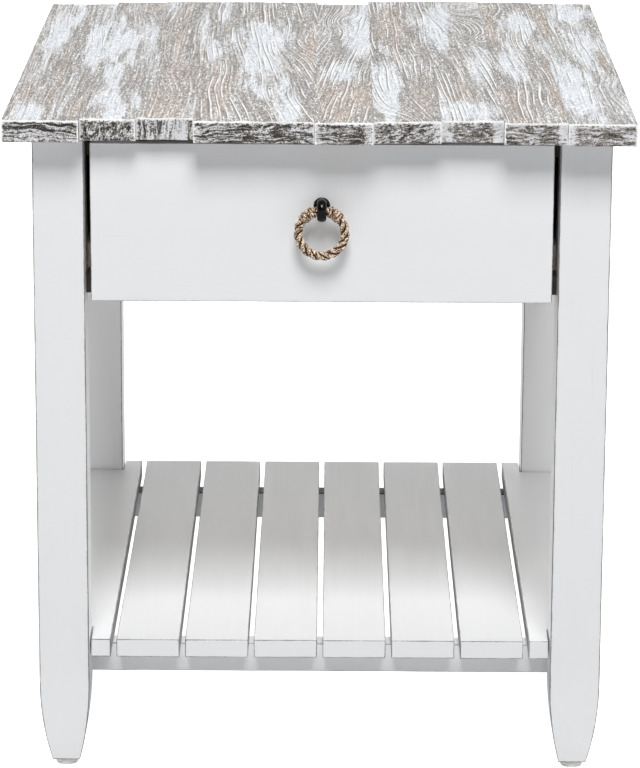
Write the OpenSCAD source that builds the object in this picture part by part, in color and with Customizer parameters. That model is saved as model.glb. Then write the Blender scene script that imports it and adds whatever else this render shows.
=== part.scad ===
// Side table with one drawer, a hanging rope ring pull and a slatted lower shelf.
// Millimetres. The origin is on the floor, midway across the width and the depth of the top.
// The drawer opens towards -Y, +X is to the right and +Z is up.

/* [Overall] */
// Height from the floor to the upper face of the top
height = 617; // [480:1:800]
// Width across the outsides of the legs
frame_w = 516; // [420:1:760]
// Depth across the outsides of the legs
frame_d = 616; // [460:1:860]

/* [Top] */
// Thickness of the top boards
top_t = 20; // [16:1:30]
// Reach of the top past the legs at the left
overhang_left = 24.6; // [5:0.2:60]
// Reach of the top past the legs at the right
overhang_right = 19.4; // [5:0.2:60]
// Reach of the top past the front legs
overhang_front = 26; // [20:1:60]
// Reach of the top past the rear legs
overhang_rear = 15; // [10:1:80]
// Share of the width that each board takes, left to right
board_share = [68, 50, 51, 107, 52, 60, 55, 56, 61]; // [40:1:120]
// Setback of each board's front end behind the front line
front_step = [-0.5, 8, 13.5, -0.5, -5, 2, 8, -2, -5]; // [-15:0.5:19]
// Reach of each board's rear end past the rear line
rear_step = [-17, -4, 1, 0, -11, 10, 12, 8, 0]; // [-30:1:15]
// Chamfer along the ends of the boards
board_chamfer = 1.5; // [0.5:0.5:4]

/* [Legs] */
// Width of each side of a leg
leg_w = 46; // [38:1:60]
// Width of a leg at its foot
foot_w = 25; // [18:1:34]
// Height of the curved taper above the foot
taper_h = 80; // [50:1:110]
// Diameter of a glide
glide_d = 20; // [14:1:24]
// Height of a glide below the leg
glide_h = 6; // [4:0.5:12]
// Diameter of the pin that holds a glide
glide_pin_d = 5; // [3:0.5:6]
// Length of the pin that holds a glide
glide_pin_l = 18; // [10:1:30]

/* [Case] */
// Thickness of the side and rear panels
panel_t = 18; // [12:1:22]
// Setback of the panels behind the outer faces of the legs
panel_inset = 3; // [0:0.5:8]
// Thickness of the top rail, the battens and the kickers
rail_t = 20; // [14:1:26]
// Width of the front and middle battens under the top
batten_w = 40; // [25:1:70]
// Distance from the front batten to the middle one
batten_spacing = 230; // [150:10:240]
// Width of the batten along the rear panel
rear_batten_w = 20; // [16:1:30]
// Gap between the closed drawer front and the rails behind it
case_gap = 1; // [0.5:0.5:3]
// Thickness of the ledge that a drawer side runs on
runner_t = 18; // [12:1:24]
// Width of the ledge under a drawer side
runner_reach = 18; // [10:1:30]
// Rise of the runners above the lower edge of the drawer front
runner_rise = 3; // [1:0.5:10]
// Rise of the runner ledges above the bottom rail
ledge_rise = 1; // [0:0.5:3]
// Height of the guides above the runner ledges
guide_h = 22; // [10:1:40]
// Length of the stub tenons
tenon_l = 12; // [8:1:16]
// Clearance around a stub tenon
tenon_gap = 0.15; // [0.1:0.05:0.5]
// Share of a rail's height that its tenon takes
tenon_share = 0.7; // [0.5:0.05:0.9]

/* [Drawer] */
// Height of the drawer front
front_h = 144.5; // [110:0.5:200]
// Thickness of the drawer front
front_t = 19; // [14:1:24]
// Gap between the drawer front and each leg
front_side_gap = 5.4; // [2:0.2:8]
// Gap between the drawer front and the top
front_top_gap = 5; // [1.5:0.5:8]
// Setback of the drawer sides from the inner faces of the legs
box_inset = 12; // [6:1:20]
// Thickness of the drawer sides, inner front and back
box_t = 12; // [10:1:15]
// Depth of the drawer box from its inner front to its back
box_d = 520; // [300:1:520]
// Gap between a drawer side and its guide
guide_gap = 0.8; // [0.5:0.1:2]
// Gap between a drawer side and its runner ledge
run_gap = 0.4; // [0.3:0.1:1]
// Gap between a drawer side and the kicker above it
kick_gap = 1.5; // [1:0.1:4]
// Drop of the drawer back below the sides
back_drop = 4; // [2:0.5:10]
// Thickness of the drawer bottom
bottom_t = 6; // [4:0.5:9]
// Depth of the groove that holds the drawer bottom
groove_d = 5; // [3:0.5:7]
// Height of the drawer bottom above the lower edge of the sides
groove_z = 10; // [6:1:16]
// Clearance round the drawer bottom in its groove
groove_gap = 0.15; // [0.1:0.05:0.4]
// Tails at each corner of the drawer box
tails = 3; // [2:1:5]
// Width of a dovetail pin at its narrow end
pin_w = 7; // [5:0.5:10]
// Slope of the dovetails in degrees
pin_slope = 10; // [6:1:14]
// Clearance between a dovetail pin and its tails
pin_gap = 0.1; // [0.05:0.05:0.3]
// Travel of the drawer to its stop
travel = 350; // [200:1:360]
// Gap between the stop block and the drawer back at full travel
stop_gap = 1; // [0.5:0.5:3]
// Drop of the stop block below the batten
stop_h = 14; // [10:1:20]
// Width of the stop block
stop_w = 60; // [30:1:120]
// Thickness of the stop block
stop_t = 16; // [12:1:24]
// Gap between the closed drawer sides and their closing stops
closing_gap = 0.5; // [0.4:0.1:2]
// Depth of a closing stop, front to back
closing_stop_d = 18; // [10:1:24]
// Gap between a closing stop and the guide beside it
closing_side_gap = 0.3; // [0.2:0.1:1]

/* [Pull] */
// Diameter of the rope
rope_d = 8.4; // [6:0.2:10]
// Radius of the ring along the middle of the rope
ring_r = 20.7; // [18:0.1:30]
// Turns that the strands make round the ring
lay_turns = 8; // [5:1:12]
// Depth of the grooves between the strands, as a share of the rope's diameter
lay_depth = 0.13; // [0.05:0.01:0.2]
// Diameter over the whippings beside the eye
whip_d = 13; // [11:0.5:14]
// Length of each whipping along the rope
whip_l = 13; // [8:0.5:16]
// Gap between a whipping and the eye
whip_gap = 0.6; // [0.4:0.1:2]
// Outer diameter of the eye
eye_d = 20.6; // [19:0.2:26]
// Width of the eye across the drawer front
eye_w = 9; // [6:0.5:10]
// Running clearance between the rope and the eye
eye_gap = 0.4; // [0.3:0.1:0.8]
// Distance from the drawer front to the middle of the eye
eye_reach = 13.5; // [13.5:0.5:20]
// Height of the eye above the lower edge of the drawer front
eye_z = 87; // [70:1:100]
// Diameter of the bolt that carries the eye
bolt_d = 6; // [4:0.5:8]
// Clearance round the bolt in its bore
bolt_gap = 0.3; // [0.1:0.1:0.6]
// Length of the bolt inside the drawer
bolt_tail = 12; // [8:1:20]
// Diameter of the round plate behind the eye
plate_d = 15; // [12:0.5:20]
// Thickness of the round plate behind the eye
plate_t = 2; // [1.5:0.5:3]

/* [Shelf] */
// Height of the shelf above the floor
shelf_z = 124; // [110:0.5:180]
// Thickness of the slats
slat_t = 17; // [12:1:22]
// Number of slats
slat_count = 8; // [8]
// Gap between two slats
slat_gap = 5.4; // [3:0.2:12]
// Setback of the slat ends behind the faces of the legs
slat_inset = 11; // [4:1:20]
// Setback of the shelf's edges behind the outsides of the legs
shelf_inset = 7; // [3:1:16]
// Clearance round a leg in an outer slat
notch_gap = 1.5; // [0.5:0.1:3]
// Depth of the shelf rails, front to back
shelf_rail_d = 22; // [16:1:30]
// Height of the shelf rails and stretchers
shelf_rail_h = 27; // [16:1:30]
// Setback of the shelf rails behind the legs
shelf_rail_inset = 5; // [2:1:20]
// Thickness of the side stretchers
stretcher_t = 20; // [14:1:28]

/* [Fasteners] */
// Diameter of the wood screws
screw_d = 4; // [3:0.5:5]
// Diameter of the screw heads
screw_head_d = 8; // [6:0.5:10]
// Clearance round a screw
screw_gap = 0.1; // [0.05:0.05:0.2]
// Depth that a screw bites into the piece it holds
screw_bite = 11; // [8:1:12]
// Length of a screw's pointed tip
screw_tip = 2; // [1:0.5:4]
// Spare depth of a bore beyond the screw or pin in it
bore_spare = 0.5; // [0.2:0.1:1]
// Distance of the end screws in a kicker from the legs
kicker_screw_inset = 60; // [30:5:120]
// Distance of the drawer front's screws from the drawer sides
front_screw_x_inset = 50; // [30:1:90]
// Distance of the drawer front's screws from the edges of the inner front
front_screw_z_inset = 26; // [20:1:32]
// Least distance of a slat screw from the line of the legs' inner faces
slat_screw_inset = 10; // [6:1:20]

/* [Hidden] */
BOARDS = ["top_board_1", "top_board_2", "top_board_3", "top_board_4", "top_board_5",
          "top_board_6", "top_board_7", "top_board_8", "top_board_9"];
SLATS = ["shelf_slat_1", "shelf_slat_2", "shelf_slat_3", "shelf_slat_4",
         "shelf_slat_5", "shelf_slat_6", "shelf_slat_7", "shelf_slat_8"];
$fn = 64;
eps = 1;

wash = "#dedfdd";
driftwood = "#c3bcb2";
bare = "#cdb58f";
iron = "#15151a";
jute = "#b08f62";
nylon = "#c9c9c6";
steel = "#8d9096";

// The pieces are laid out about the line midway between the legs, and the whole is then
// moved by middle_x. Along Y the origin sits below the middle of the longest boards' box.
front_reach = max(overhang_front - min(front_step), eye_reach + eye_d / 2);
rear_reach = overhang_rear + max(rear_step);
leg_y0 = front_reach - (front_reach + frame_d + rear_reach) / 2;
leg_y1 = leg_y0 + frame_d;
leg_mid_y = (leg_y0 + leg_y1) / 2;
leg_in_y0 = leg_y0 + leg_w;
leg_in_y1 = leg_y1 - leg_w;
clear_w = frame_w - 2 * leg_w;
clear_x = clear_w / 2;
under_top = height - top_t;

// Boards of the top, whose joints lie on hundredths of a millimetre
top_w = frame_w + overhang_left + overhang_right;
middle_x = (overhang_left - overhang_right) / 2;
board_unit = top_w / sum(board_share);
function sum(v, i = 0) = i < len(v) ? v[i] + sum(v, i + 1) : 0;
function share_before(i) = i > 0 ? sum([for (k = [0:i - 1]) board_share[k]]) : 0;
function board_x(i) =
    round(100 * (board_unit * share_before(i) - frame_w / 2 - overhang_left)) / 100;
function board_mid(i) = (board_x(i) + board_x(i + 1)) / 2;
function board_y0(i) = leg_y0 - overhang_front + front_step[i];
function board_y1(i) = leg_y1 + overhang_rear + rear_step[i];

// Curved taper of the feet: an arc that leaves the leg's side without a kink
foot_cut = (leg_w - foot_w) / 2;
taper_r = (taper_h * taper_h + foot_cut * foot_cut) / (2 * foot_cut);
taper_z = glide_h + taper_h;

// Case
rail_z = under_top - rail_t;
panel_x = frame_w / 2 - panel_inset - panel_t;
rear_panel_y = leg_y1 - panel_inset - panel_t;
front_z1 = under_top - front_top_gap;
front_z0 = front_z1 - front_h;
ledge_z0 = front_z0 + runner_rise;
ledge_z1 = ledge_z0 + runner_t;
case_y = leg_y0 + front_t + case_gap;
case_d = leg_in_y0 - case_y;
bottom_rail_h = runner_t - ledge_rise;

// Drawer box
box_y0 = leg_y0 + front_t;
box_y1 = box_y0 + box_d;
box_x = clear_x - box_inset;
box_z0 = ledge_z1 + run_gap;
box_z1 = rail_z - kick_gap;
box_h = box_z1 - box_z0;
ledge_x = box_x - runner_reach;
guide_x = box_x + guide_gap;
floor_z0 = box_z0 + groove_z;
floor_z1 = floor_z0 + bottom_t;
back_z0 = floor_z1 + groove_gap;
back_z1 = box_z1 - back_drop;
stop_y = box_y1 - box_t - travel - stop_gap;
batten_y = [stop_y - batten_w, stop_y - batten_w + batten_spacing];
rear_batten_y = rear_panel_y - rear_batten_w;

// Pull
eye_centre = [0, leg_y0 - eye_reach, front_z0 + eye_z];
sag = ring_r - sqrt(ring_r * ring_r - eye_w * eye_w / 4);
eye_hole_r = rope_d / 2 + sag + eye_gap;
eye_band = eye_d / 2 - eye_hole_r;
ring_centre = eye_centre - [0, 0, ring_r];
bolt_end_y = box_y0 + box_t + bolt_tail;
bolt_hole_d = bolt_d + 2 * bolt_gap;
washer_d = 3 * bolt_d;
washer_t = bolt_d / 4;
nut_d = 1.9 * bolt_d;
nut_h = 0.8 * bolt_d;
nut_hole_d = bolt_d + bolt_gap;
whip_start = asin((eye_w / 2 + whip_gap) / (ring_r - whip_d / 2));
whip_angle = whip_l / ring_r * 180 / PI;

// Shelf
slat_z = shelf_z - slat_t;
shelf_w = frame_w - 2 * shelf_inset;
slat_w = (shelf_w - (slat_count - 1) * slat_gap) / slat_count;
slat_y0 = leg_y0 + slat_inset;
slat_y1 = leg_y1 - slat_inset;
shelf_rail_z = slat_z - shelf_rail_h;
stretcher_x = (frame_w - leg_w - stretcher_t) / 2;
shelf_rail_y = [leg_in_y0 + shelf_rail_inset, leg_in_y1 - shelf_rail_inset - shelf_rail_d];
function slat_x(i) = -shelf_w / 2 + i * (slat_w + slat_gap);
function slat_screw_x(i) =
    let (mid = slat_x(i) + slat_w / 2, limit = clear_x - slat_screw_inset)
    max(-limit, min(limit, mid));

// Places of the screws that hold the top, all driven upwards from rail_z
kicker_screw_x = (clear_x + panel_x) / 2;
kicker_screw_y = [leg_in_y0 + kicker_screw_inset, leg_mid_y, leg_in_y1 - kicker_screw_inset];
cross_screw_y = [case_y + case_d / 2, batten_y[0] + batten_w / 2, batten_y[1] + batten_w / 2,
                 rear_batten_y + rear_batten_w / 2];
cross_screw_limit = [clear_x, ledge_x, ledge_x, clear_x];
top_screw_spots = concat(
    [for (s = [-1, 1], y = kicker_screw_y) [s * kicker_screw_x, y]],
    [for (k = [0:3], i = [0:len(BOARDS) - 1])
        if (abs(board_mid(i)) < cross_screw_limit[k] - screw_head_d)
            [board_mid(i), cross_screw_y[k]]]);
function touches_board(p, i) =
    let (r = screw_d / 2 + screw_gap)
    p.x > board_x(i) - r && p.x < board_x(i + 1) + r;

// Moves a piece that is laid out about the legs to its place under the middle of the top
module placed() {
    translate([middle_x, 0, 0]) children();
}

// A box from one corner to the opposite one
module block(low, high) {
    translate(low) cube(high - low);
}

// A block along X between x0 and x1 whose two upper end arrises are chamfered, seen along X
module eased_board(x0, x1, y0, y1, z0, z1, c) {
    translate([x0, 0, 0])
        rotate([90, 0, 90])
            linear_extrude(x1 - x0)
                polygon([[y0, z0], [y1, z0], [y1, z1 - c], [y1 - c, z1], [y0 + c, z1], [y0, z1 - c]]);
}

// Countersunk wood screw pointing up from z = 0, or its hole when gap is more than 0
module screw_shape(through, gap = 0) {
    r = screw_d / 2 + gap;
    head = screw_head_d / 2 + gap;
    tip = through + screw_bite + (gap > 0 ? bore_spare : 0);
    rotate_extrude()
        polygon([[0, 0], [head, 0], [r, head - r], [r, tip - screw_tip], [0, tip]]);
}

// Stub tenons at both ends of a rail that runs along X between the legs
module tenons_x(y, z, d, h, gap = 0) {
    for (s = [-1, 1])
        translate([s * (clear_x + tenon_l / 2), y + d / 2, z + h / 2])
            cube([tenon_l + 2 * gap, d / 2 + 2 * gap, h * tenon_share + 2 * gap], center = true);
}

// Stub tenons at both ends of a rail that runs along Y between the legs
module tenons_y(x, z, w, h, gap = 0) {
    for (y = [leg_in_y0 - tenon_l / 2, leg_in_y1 + tenon_l / 2])
        translate([x + w / 2, y, z + h / 2])
            cube([w / 2 + 2 * gap, tenon_l + 2 * gap, h * tenon_share + 2 * gap], center = true);
}

// Every tenon that enters a leg
module leg_tenons(gap) {
    tenons_x(case_y, rail_z, case_d, rail_t, gap);
    tenons_x(case_y, ledge_z0, case_d, bottom_rail_h, gap);
    tenons_x(rear_panel_y, front_z0, panel_t, under_top - front_z0, gap);
    for (s = [0, 1])
        mirror([s, 0, 0]) {
            tenons_y(panel_x, front_z0, panel_t, under_top - front_z0, gap);
            tenons_y(stretcher_x, shelf_rail_z, stretcher_t, shelf_rail_h, gap);
        }
}

// One board of the top, screwed from below
module top_board(i) {
    color(driftwood)
        difference() {
            eased_board(board_x(i), board_x(i + 1), board_y0(i), board_y1(i),
                        under_top, height, board_chamfer);
            for (p = top_screw_spots)
                if (touches_board(p, i))
                    translate([p.x, p.y, rail_z])
                        screw_shape(rail_t, screw_gap);
        }
}

// Side view of a leg: straight sides that curve in to the foot
module leg_profile() {
    translate([-leg_w / 2, taper_z])
        square([leg_w, under_top - taper_z]);
    intersection() {
        translate([-leg_w / 2, glide_h])
            square([leg_w, taper_h]);
        translate([leg_w / 2 - taper_r, taper_z])
            circle(taper_r, $fn = 360);
        translate([taper_r - leg_w / 2, taper_z])
            circle(taper_r, $fn = 360);
    }
}

// A leg with mortises for the tenons and a bore for the glide pin
module leg(sx, sy) {
    x = sx * (frame_w - leg_w) / 2;
    y = sy < 0 ? leg_y0 + leg_w / 2 : leg_y1 - leg_w / 2;
    color(wash)
        difference() {
            translate([x, y, 0])
                intersection() {
                    rotate([90, 0, 0])
                        linear_extrude(leg_w, center = true)
                            leg_profile();
                    rotate([90, 0, 90])
                        linear_extrude(leg_w, center = true)
                            leg_profile();
                }
            leg_tenons(tenon_gap);
            translate([x, y, glide_h - eps])
                cylinder(h = glide_pin_l + eps + bore_spare, d = glide_pin_d + 2 * screw_gap);
        }
}

// Round glide with a rolled edge and a pin, one under each leg
module foot_glides() {
    roll = glide_h / 3;
    color(nylon)
        for (x = [-1, 1] * (frame_w - leg_w) / 2, y = [leg_y0 + leg_w / 2, leg_y1 - leg_w / 2])
            translate([x, y, 0]) {
                rotate_extrude() {
                    square([glide_d / 2 - roll, glide_h]);
                    translate([0, roll])
                        square([glide_d / 2, glide_h - roll]);
                    translate([glide_d / 2 - roll, roll])
                        circle(roll);
                }
                cylinder(h = glide_h + glide_pin_l, d = glide_pin_d);
            }
}

// Panel between the front and rear legs at one side
module side_panel(s) {
    color(wash)
        mirror([s < 0 ? 1 : 0, 0, 0]) {
            block([panel_x, leg_in_y0, front_z0], [panel_x + panel_t, leg_in_y1, under_top]);
            tenons_y(panel_x, front_z0, panel_t, under_top - front_z0);
        }
}

module rear_panel() {
    color(wash) {
        block([-clear_x, rear_panel_y, front_z0], [clear_x, rear_panel_y + panel_t, under_top]);
        tenons_x(rear_panel_y, front_z0, panel_t, under_top - front_z0);
    }
}

module front_top_rail() {
    color(bare)
        difference() {
            union() {
                block([-clear_x, case_y, rail_z], [clear_x, leg_in_y0, under_top]);
                tenons_x(case_y, rail_z, case_d, rail_t);
            }
            for (p = top_screw_spots)
                if (p.y == cross_screw_y[0])
                    translate([p.x, p.y, rail_z])
                        screw_shape(rail_t, screw_gap);
        }
}

module front_bottom_rail() {
    color(bare) {
        block([-clear_x, case_y, ledge_z0], [clear_x, leg_in_y0, ledge_z0 + bottom_rail_h]);
        tenons_x(case_y, ledge_z0, case_d, bottom_rail_h);
    }
}

// Ledge under a drawer side with a guide beside it, from leg to leg
module drawer_runner(s) {
    color(bare)
        mirror([s < 0 ? 1 : 0, 0, 0])
            translate([0, leg_in_y1, 0])
                rotate([90, 0, 0])
                    linear_extrude(leg_in_y1 - leg_in_y0)
                        polygon([[ledge_x, ledge_z0], [panel_x, ledge_z0],
                                 [panel_x, ledge_z1 + guide_h], [guide_x, ledge_z1 + guide_h],
                                 [guide_x, ledge_z1], [ledge_x, ledge_z1]]);
}

// Strip above a drawer side that keeps the open drawer from tipping
module drawer_kicker(s) {
    color(bare)
        difference() {
            mirror([s < 0 ? 1 : 0, 0, 0])
                block([ledge_x, leg_in_y0, rail_z], [panel_x, leg_in_y1, under_top]);
            for (p = top_screw_spots)
                if (abs(p.x) == kicker_screw_x)
                    translate([p.x, p.y, rail_z])
                        screw_shape(rail_t, screw_gap);
        }
}

// Batten across the underside of the boards
module top_batten(k, y, d, half) {
    color(bare)
        difference() {
            block([-half, y, rail_z], [half, y + d, under_top]);
            for (p = top_screw_spots)
                if (p.y == cross_screw_y[k])
                    translate([p.x, p.y, rail_z])
                        screw_shape(rail_t, screw_gap);
        }
}

// Block under the front batten that the drawer back meets when the drawer is open
module drawer_stop() {
    color(bare)
        block([-stop_w / 2, stop_y - stop_t, rail_z - stop_h], [stop_w / 2, stop_y, rail_z]);
}

// Blocks on the runner ledges that the drawer sides meet when the drawer is closed
module drawer_closing_stops() {
    color(bare)
        for (s = [0, 1])
            mirror([s, 0, 0])
                block([ledge_x, box_y1 + closing_gap, ledge_z1],
                      [guide_x - closing_side_gap, box_y1 + closing_gap + closing_stop_d,
                       ledge_z1 + guide_h]);
}

// Bore for the eye bolt through the drawer front
module bolt_bore() {
    translate([eye_centre.x, leg_y0 - eps, eye_centre.z])
        rotate([-90, 0, 0])
            cylinder(h = front_t + box_t + 2 * eps, d = bolt_hole_d);
}

// Screws or holes that join the inner front to the drawer front, pointing forwards
module front_screws(gap = 0) {
    for (x = [-1, 1] * (box_x - front_screw_x_inset),
         z = [box_z0 + front_screw_z_inset, box_z1 - front_screw_z_inset])
        translate([x, box_y0 + box_t, z])
            rotate([90, 0, 0])
                screw_shape(box_t, gap);
}

module drawer_front() {
    half = clear_x - front_side_gap;
    color(wash)
        difference() {
            block([-half, leg_y0, front_z0], [half, leg_y0 + front_t, front_z1]);
            bolt_bore();
            front_screws(screw_gap);
        }
}

// Dovetail pins of a board from z0 to z1, seen from the side: the first coordinate runs
// from the end of the tail board inwards, and the half pins lie on the board's edges
module pins_2d(z0, z1, gap = 0) {
    narrow = pin_w / 2 - gap;
    wide = narrow + box_t * tan(pin_slope);
    intersection() {
        translate([-eps, z0])
            square([box_t + eps, z1 - z0]);
        for (i = [0:tails])
            translate([0, z0 + (z1 - z0) * i / tails])
                polygon([[-eps, -narrow + eps * tan(pin_slope)], [box_t, -wide],
                         [box_t, wide], [-eps, narrow - eps * tan(pin_slope)]]);
    }
}

// The pins as solids through the thickness of the left side, at the front or the back
module pins(z0, z1, front, gap = 0) {
    translate([-box_x - eps, front ? box_y0 : box_y1, 0])
        mirror([0, front ? 0 : 1, 0])
            rotate([90, 0, 90])
                linear_extrude(box_t + eps)
                    pins_2d(z0, z1, gap);
}

// A board across the drawer box with its pins, cut to length
module pinned_board(z0, z1, front) {
    y = front ? box_y0 : box_y1 - box_t;
    intersection() {
        union() {
            block([-box_x + box_t, y, z0], [box_x - box_t, y + box_t, z1]);
            for (s = [0, 1])
                mirror([s, 0, 0])
                    pins(z0, z1, front, pin_gap);
        }
        block([-box_x, y, z0], [box_x, y + box_t, z1]);
    }
}

// Space of the drawer bottom, with room for it to slide in when gap is more than 0
module bottom_space(gap) {
    half = box_x - box_t + groove_d;
    block([-half - gap, box_y0 + box_t - groove_d - gap, floor_z0 - gap],
          [half + gap, box_y1 + (gap > 0 ? eps : 0), floor_z1 + gap]);
}

module drawer_inner_front() {
    color(bare)
        difference() {
            pinned_board(box_z0, box_z1, true);
            bottom_space(groove_gap);
            bolt_bore();
            front_screws(screw_gap);
        }
}

module drawer_back() {
    color(bare)
        pinned_board(back_z0, back_z1, false);
}

// Drawer side with tails at both ends and a groove for the bottom
module drawer_side(s) {
    color(bare)
        mirror([s > 0 ? 1 : 0, 0, 0])
            difference() {
                block([-box_x, box_y0, box_z0], [-box_x + box_t, box_y1, box_z1]);
                pins(box_z0, box_z1, true);
                pins(back_z0, back_z1, false);
                bottom_space(groove_gap);
            }
}

module drawer_bottom() {
    color(bare)
        bottom_space(0);
}

// Section of the eye: a band with round edges, like a flattened bar
module eye_section() {
    soft = 0.48 * min(eye_band, eye_w);
    x0 = eye_hole_r;
    for (dx = [soft, eye_band - soft], dy = [-1, 1] * (eye_w / 2 - soft))
        translate([x0 + dx, dy])
            circle(soft, $fn = 32);
    translate([x0, soft - eye_w / 2])
        square([eye_band, eye_w - 2 * soft]);
    translate([x0 + soft, -eye_w / 2])
        square([eye_band - 2 * soft, eye_w]);
}

module eye_bolt() {
    neck_d = bolt_d + 2;
    neck_y = leg_y0 - plate_t;
    color(iron) {
        translate(eye_centre)
            rotate([0, 90, 0])
                rotate_extrude($fn = 96)
                    eye_section();
        difference() {
            translate(eye_centre)
                rotate([-90, 0, 0]) {
                    cylinder(h = neck_y - eye_centre.y, d = neck_d);
                    cylinder(h = bolt_end_y - eye_centre.y, d = bolt_d);
                }
            translate(eye_centre)
                rotate([0, 90, 0])
                    cylinder(h = 4 * eye_w, r = eye_hole_r + 0.01, center = true, $fn = 96);
        }
    }
}

module eye_plate() {
    rim = 0.6;
    color(iron)
        translate([eye_centre.x, leg_y0, eye_centre.z])
            rotate([90, 0, 0])
                rotate_extrude()
                    polygon([[bolt_hole_d / 2, 0], [plate_d / 2, 0], [plate_d / 2, plate_t - rim],
                             [plate_d / 2 - rim, plate_t], [bolt_hole_d / 2, plate_t]]);
}

module bolt_washer() {
    color(steel)
        translate([eye_centre.x, box_y0 + box_t, eye_centre.z])
            rotate([-90, 0, 0])
                difference() {
                    cylinder(h = washer_t, d = washer_d);
                    translate([0, 0, -eps])
                        cylinder(h = washer_t + 2 * eps, d = bolt_hole_d);
                }
}

module bolt_nut() {
    color(steel)
        translate([eye_centre.x, box_y0 + box_t + washer_t, eye_centre.z])
            rotate([-90, 0, 0])
                difference() {
                    cylinder(h = nut_h, d = nut_d, $fn = 6);
                    translate([0, 0, -eps])
                        cylinder(h = nut_h + 2 * eps, d = nut_hole_d);
                }
}

// Right-laid rope closed into a ring: a three-lobed section that turns as it goes round.
// The lobes touch a circle of rope_d, and the ring lies in the XZ plane below the eye.
function lobe_r(a) = rope_d / 2 * (1 - lay_depth + lay_depth * cos(3 * a));
function rope_point(u, v) =
    let (r = lobe_r(v + u * lay_turns), out = ring_r + r * cos(v))
    ring_centre + [out * sin(u), r * sin(v), out * cos(u)];

module rope_ring() {
    rings = 96;
    sides = 18;
    points = [for (i = [0:rings - 1], j = [0:sides - 1])
        rope_point(360 * i / rings, 360 * j / sides)];
    faces = [for (i = [0:rings - 1], j = [0:sides - 1])
        let (i2 = (i + 1) % rings, j2 = (j + 1) % sides)
        each [[i * sides + j, i * sides + j2, i2 * sides + j2],
              [i * sides + j, i2 * sides + j2, i2 * sides + j]]];
    color(jute)
        polyhedron(points, faces);
}

// Twine whippings that bind the rope on both sides of the eye
module ring_whippings() {
    color(jute)
        translate(ring_centre)
            rotate([90, 0, 0])
                for (a = [90 + whip_start, 90 - whip_start - whip_angle])
                    rotate([0, 0, a])
                        rotate_extrude(angle = whip_angle, $fn = 128)
                            translate([ring_r, 0])
                                difference() {
                                    circle(d = whip_d);
                                    circle(d = rope_d + 0.1);
                                }
}

// Slat of the shelf, with the outer ones notched round the legs
module shelf_slat(i) {
    color(wash)
        difference() {
            block([slat_x(i), slat_y0, slat_z], [slat_x(i) + slat_w, slat_y1, shelf_z]);
            for (sx = [-1, 1], y = [leg_y0 - eps, leg_in_y1 - notch_gap])
                translate([sx * (clear_x - notch_gap + frame_w / 2), y, slat_z - eps])
                    translate([-frame_w / 2, 0, 0])
                        cube([frame_w, leg_w + notch_gap + eps, slat_t + 2 * eps]);
            for (y = shelf_rail_y)
                translate([slat_screw_x(i), y + shelf_rail_d / 2, shelf_rail_z])
                    screw_shape(shelf_rail_h, screw_gap);
        }
}

// Rail across the shelf, housed in the stretchers
module shelf_rail(y) {
    color(wash)
        difference() {
            union() {
                block([-stretcher_x, y, shelf_rail_z], [stretcher_x, y + shelf_rail_d, slat_z]);
                rail_stubs(y, 0);
            }
            for (i = [0:slat_count - 1])
                translate([slat_screw_x(i), y + shelf_rail_d / 2, shelf_rail_z])
                    screw_shape(shelf_rail_h, screw_gap);
        }
}

// Stub tenons of a shelf rail, or their mortises in the stretchers
module rail_stubs(y, gap) {
    for (s = [-1, 1])
        translate([s * (stretcher_x + stretcher_t / 4), y + shelf_rail_d / 2,
                   shelf_rail_z + shelf_rail_h / 2])
            cube([stretcher_t / 2 + 2 * gap, shelf_rail_d / 2 + 2 * gap,
                  shelf_rail_h / 2 + 2 * gap], center = true);
}

// Stretcher between the front and rear legs at one side, under the slats
module shelf_stretcher(s) {
    color(wash)
        difference() {
            mirror([s < 0 ? 1 : 0, 0, 0]) {
                block([stretcher_x, leg_in_y0, shelf_rail_z],
                      [stretcher_x + stretcher_t, leg_in_y1, slat_z]);
                tenons_y(stretcher_x, shelf_rail_z, stretcher_t, shelf_rail_h);
            }
            for (y = shelf_rail_y)
                rail_stubs(y, tenon_gap);
        }
}

module slat_screws() {
    color(steel)
        for (y = shelf_rail_y, i = [0:slat_count - 1])
            translate([slat_screw_x(i), y + shelf_rail_d / 2, shelf_rail_z])
                screw_shape(shelf_rail_h);
}

module top_screws() {
    color(steel)
        for (p = top_screw_spots)
            translate([p.x, p.y, rail_z])
                screw_shape(rail_t);
}

module drawer_screws() {
    color(steel)
        front_screws();
}

for (i = [0:len(BOARDS) - 1])
    placed() top_board(i);
placed() leg(-1, -1);  // leg_front_left
placed() leg(1, -1);  // leg_front_right
placed() leg(-1, 1);  // leg_rear_left
placed() leg(1, 1);  // leg_rear_right
placed() foot_glides();
placed() side_panel(-1);  // side_panel_left
placed() side_panel(1);  // side_panel_right
placed() rear_panel();
placed() front_top_rail();
placed() front_bottom_rail();
placed() drawer_runner(-1);  // drawer_runner_left
placed() drawer_runner(1);  // drawer_runner_right
placed() drawer_kicker(-1);  // drawer_kicker_left
placed() drawer_kicker(1);  // drawer_kicker_right
placed() top_batten(1, batten_y[0], batten_w, ledge_x);  // top_batten_front
placed() top_batten(2, batten_y[1], batten_w, ledge_x);  // top_batten_middle
placed() top_batten(3, rear_batten_y, rear_batten_w, clear_x);  // top_batten_rear
placed() drawer_stop();
placed() drawer_closing_stops();
placed() drawer_front();
placed() drawer_inner_front();
placed() drawer_side(-1);  // drawer_side_left
placed() drawer_side(1);  // drawer_side_right
placed() drawer_back();
placed() drawer_bottom();
placed() eye_bolt();
placed() eye_plate();
placed() bolt_washer();
placed() bolt_nut();
placed() rope_ring();
placed() ring_whippings();
for (i = [0:len(SLATS) - 1])
    placed() shelf_slat(i);
placed() shelf_rail(shelf_rail_y[0]);  // shelf_rail_front
placed() shelf_rail(shelf_rail_y[1]);  // shelf_rail_rear
placed() shelf_stretcher(-1);  // shelf_stretcher_left
placed() shelf_stretcher(1);  // shelf_stretcher_right
placed() slat_screws();
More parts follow.
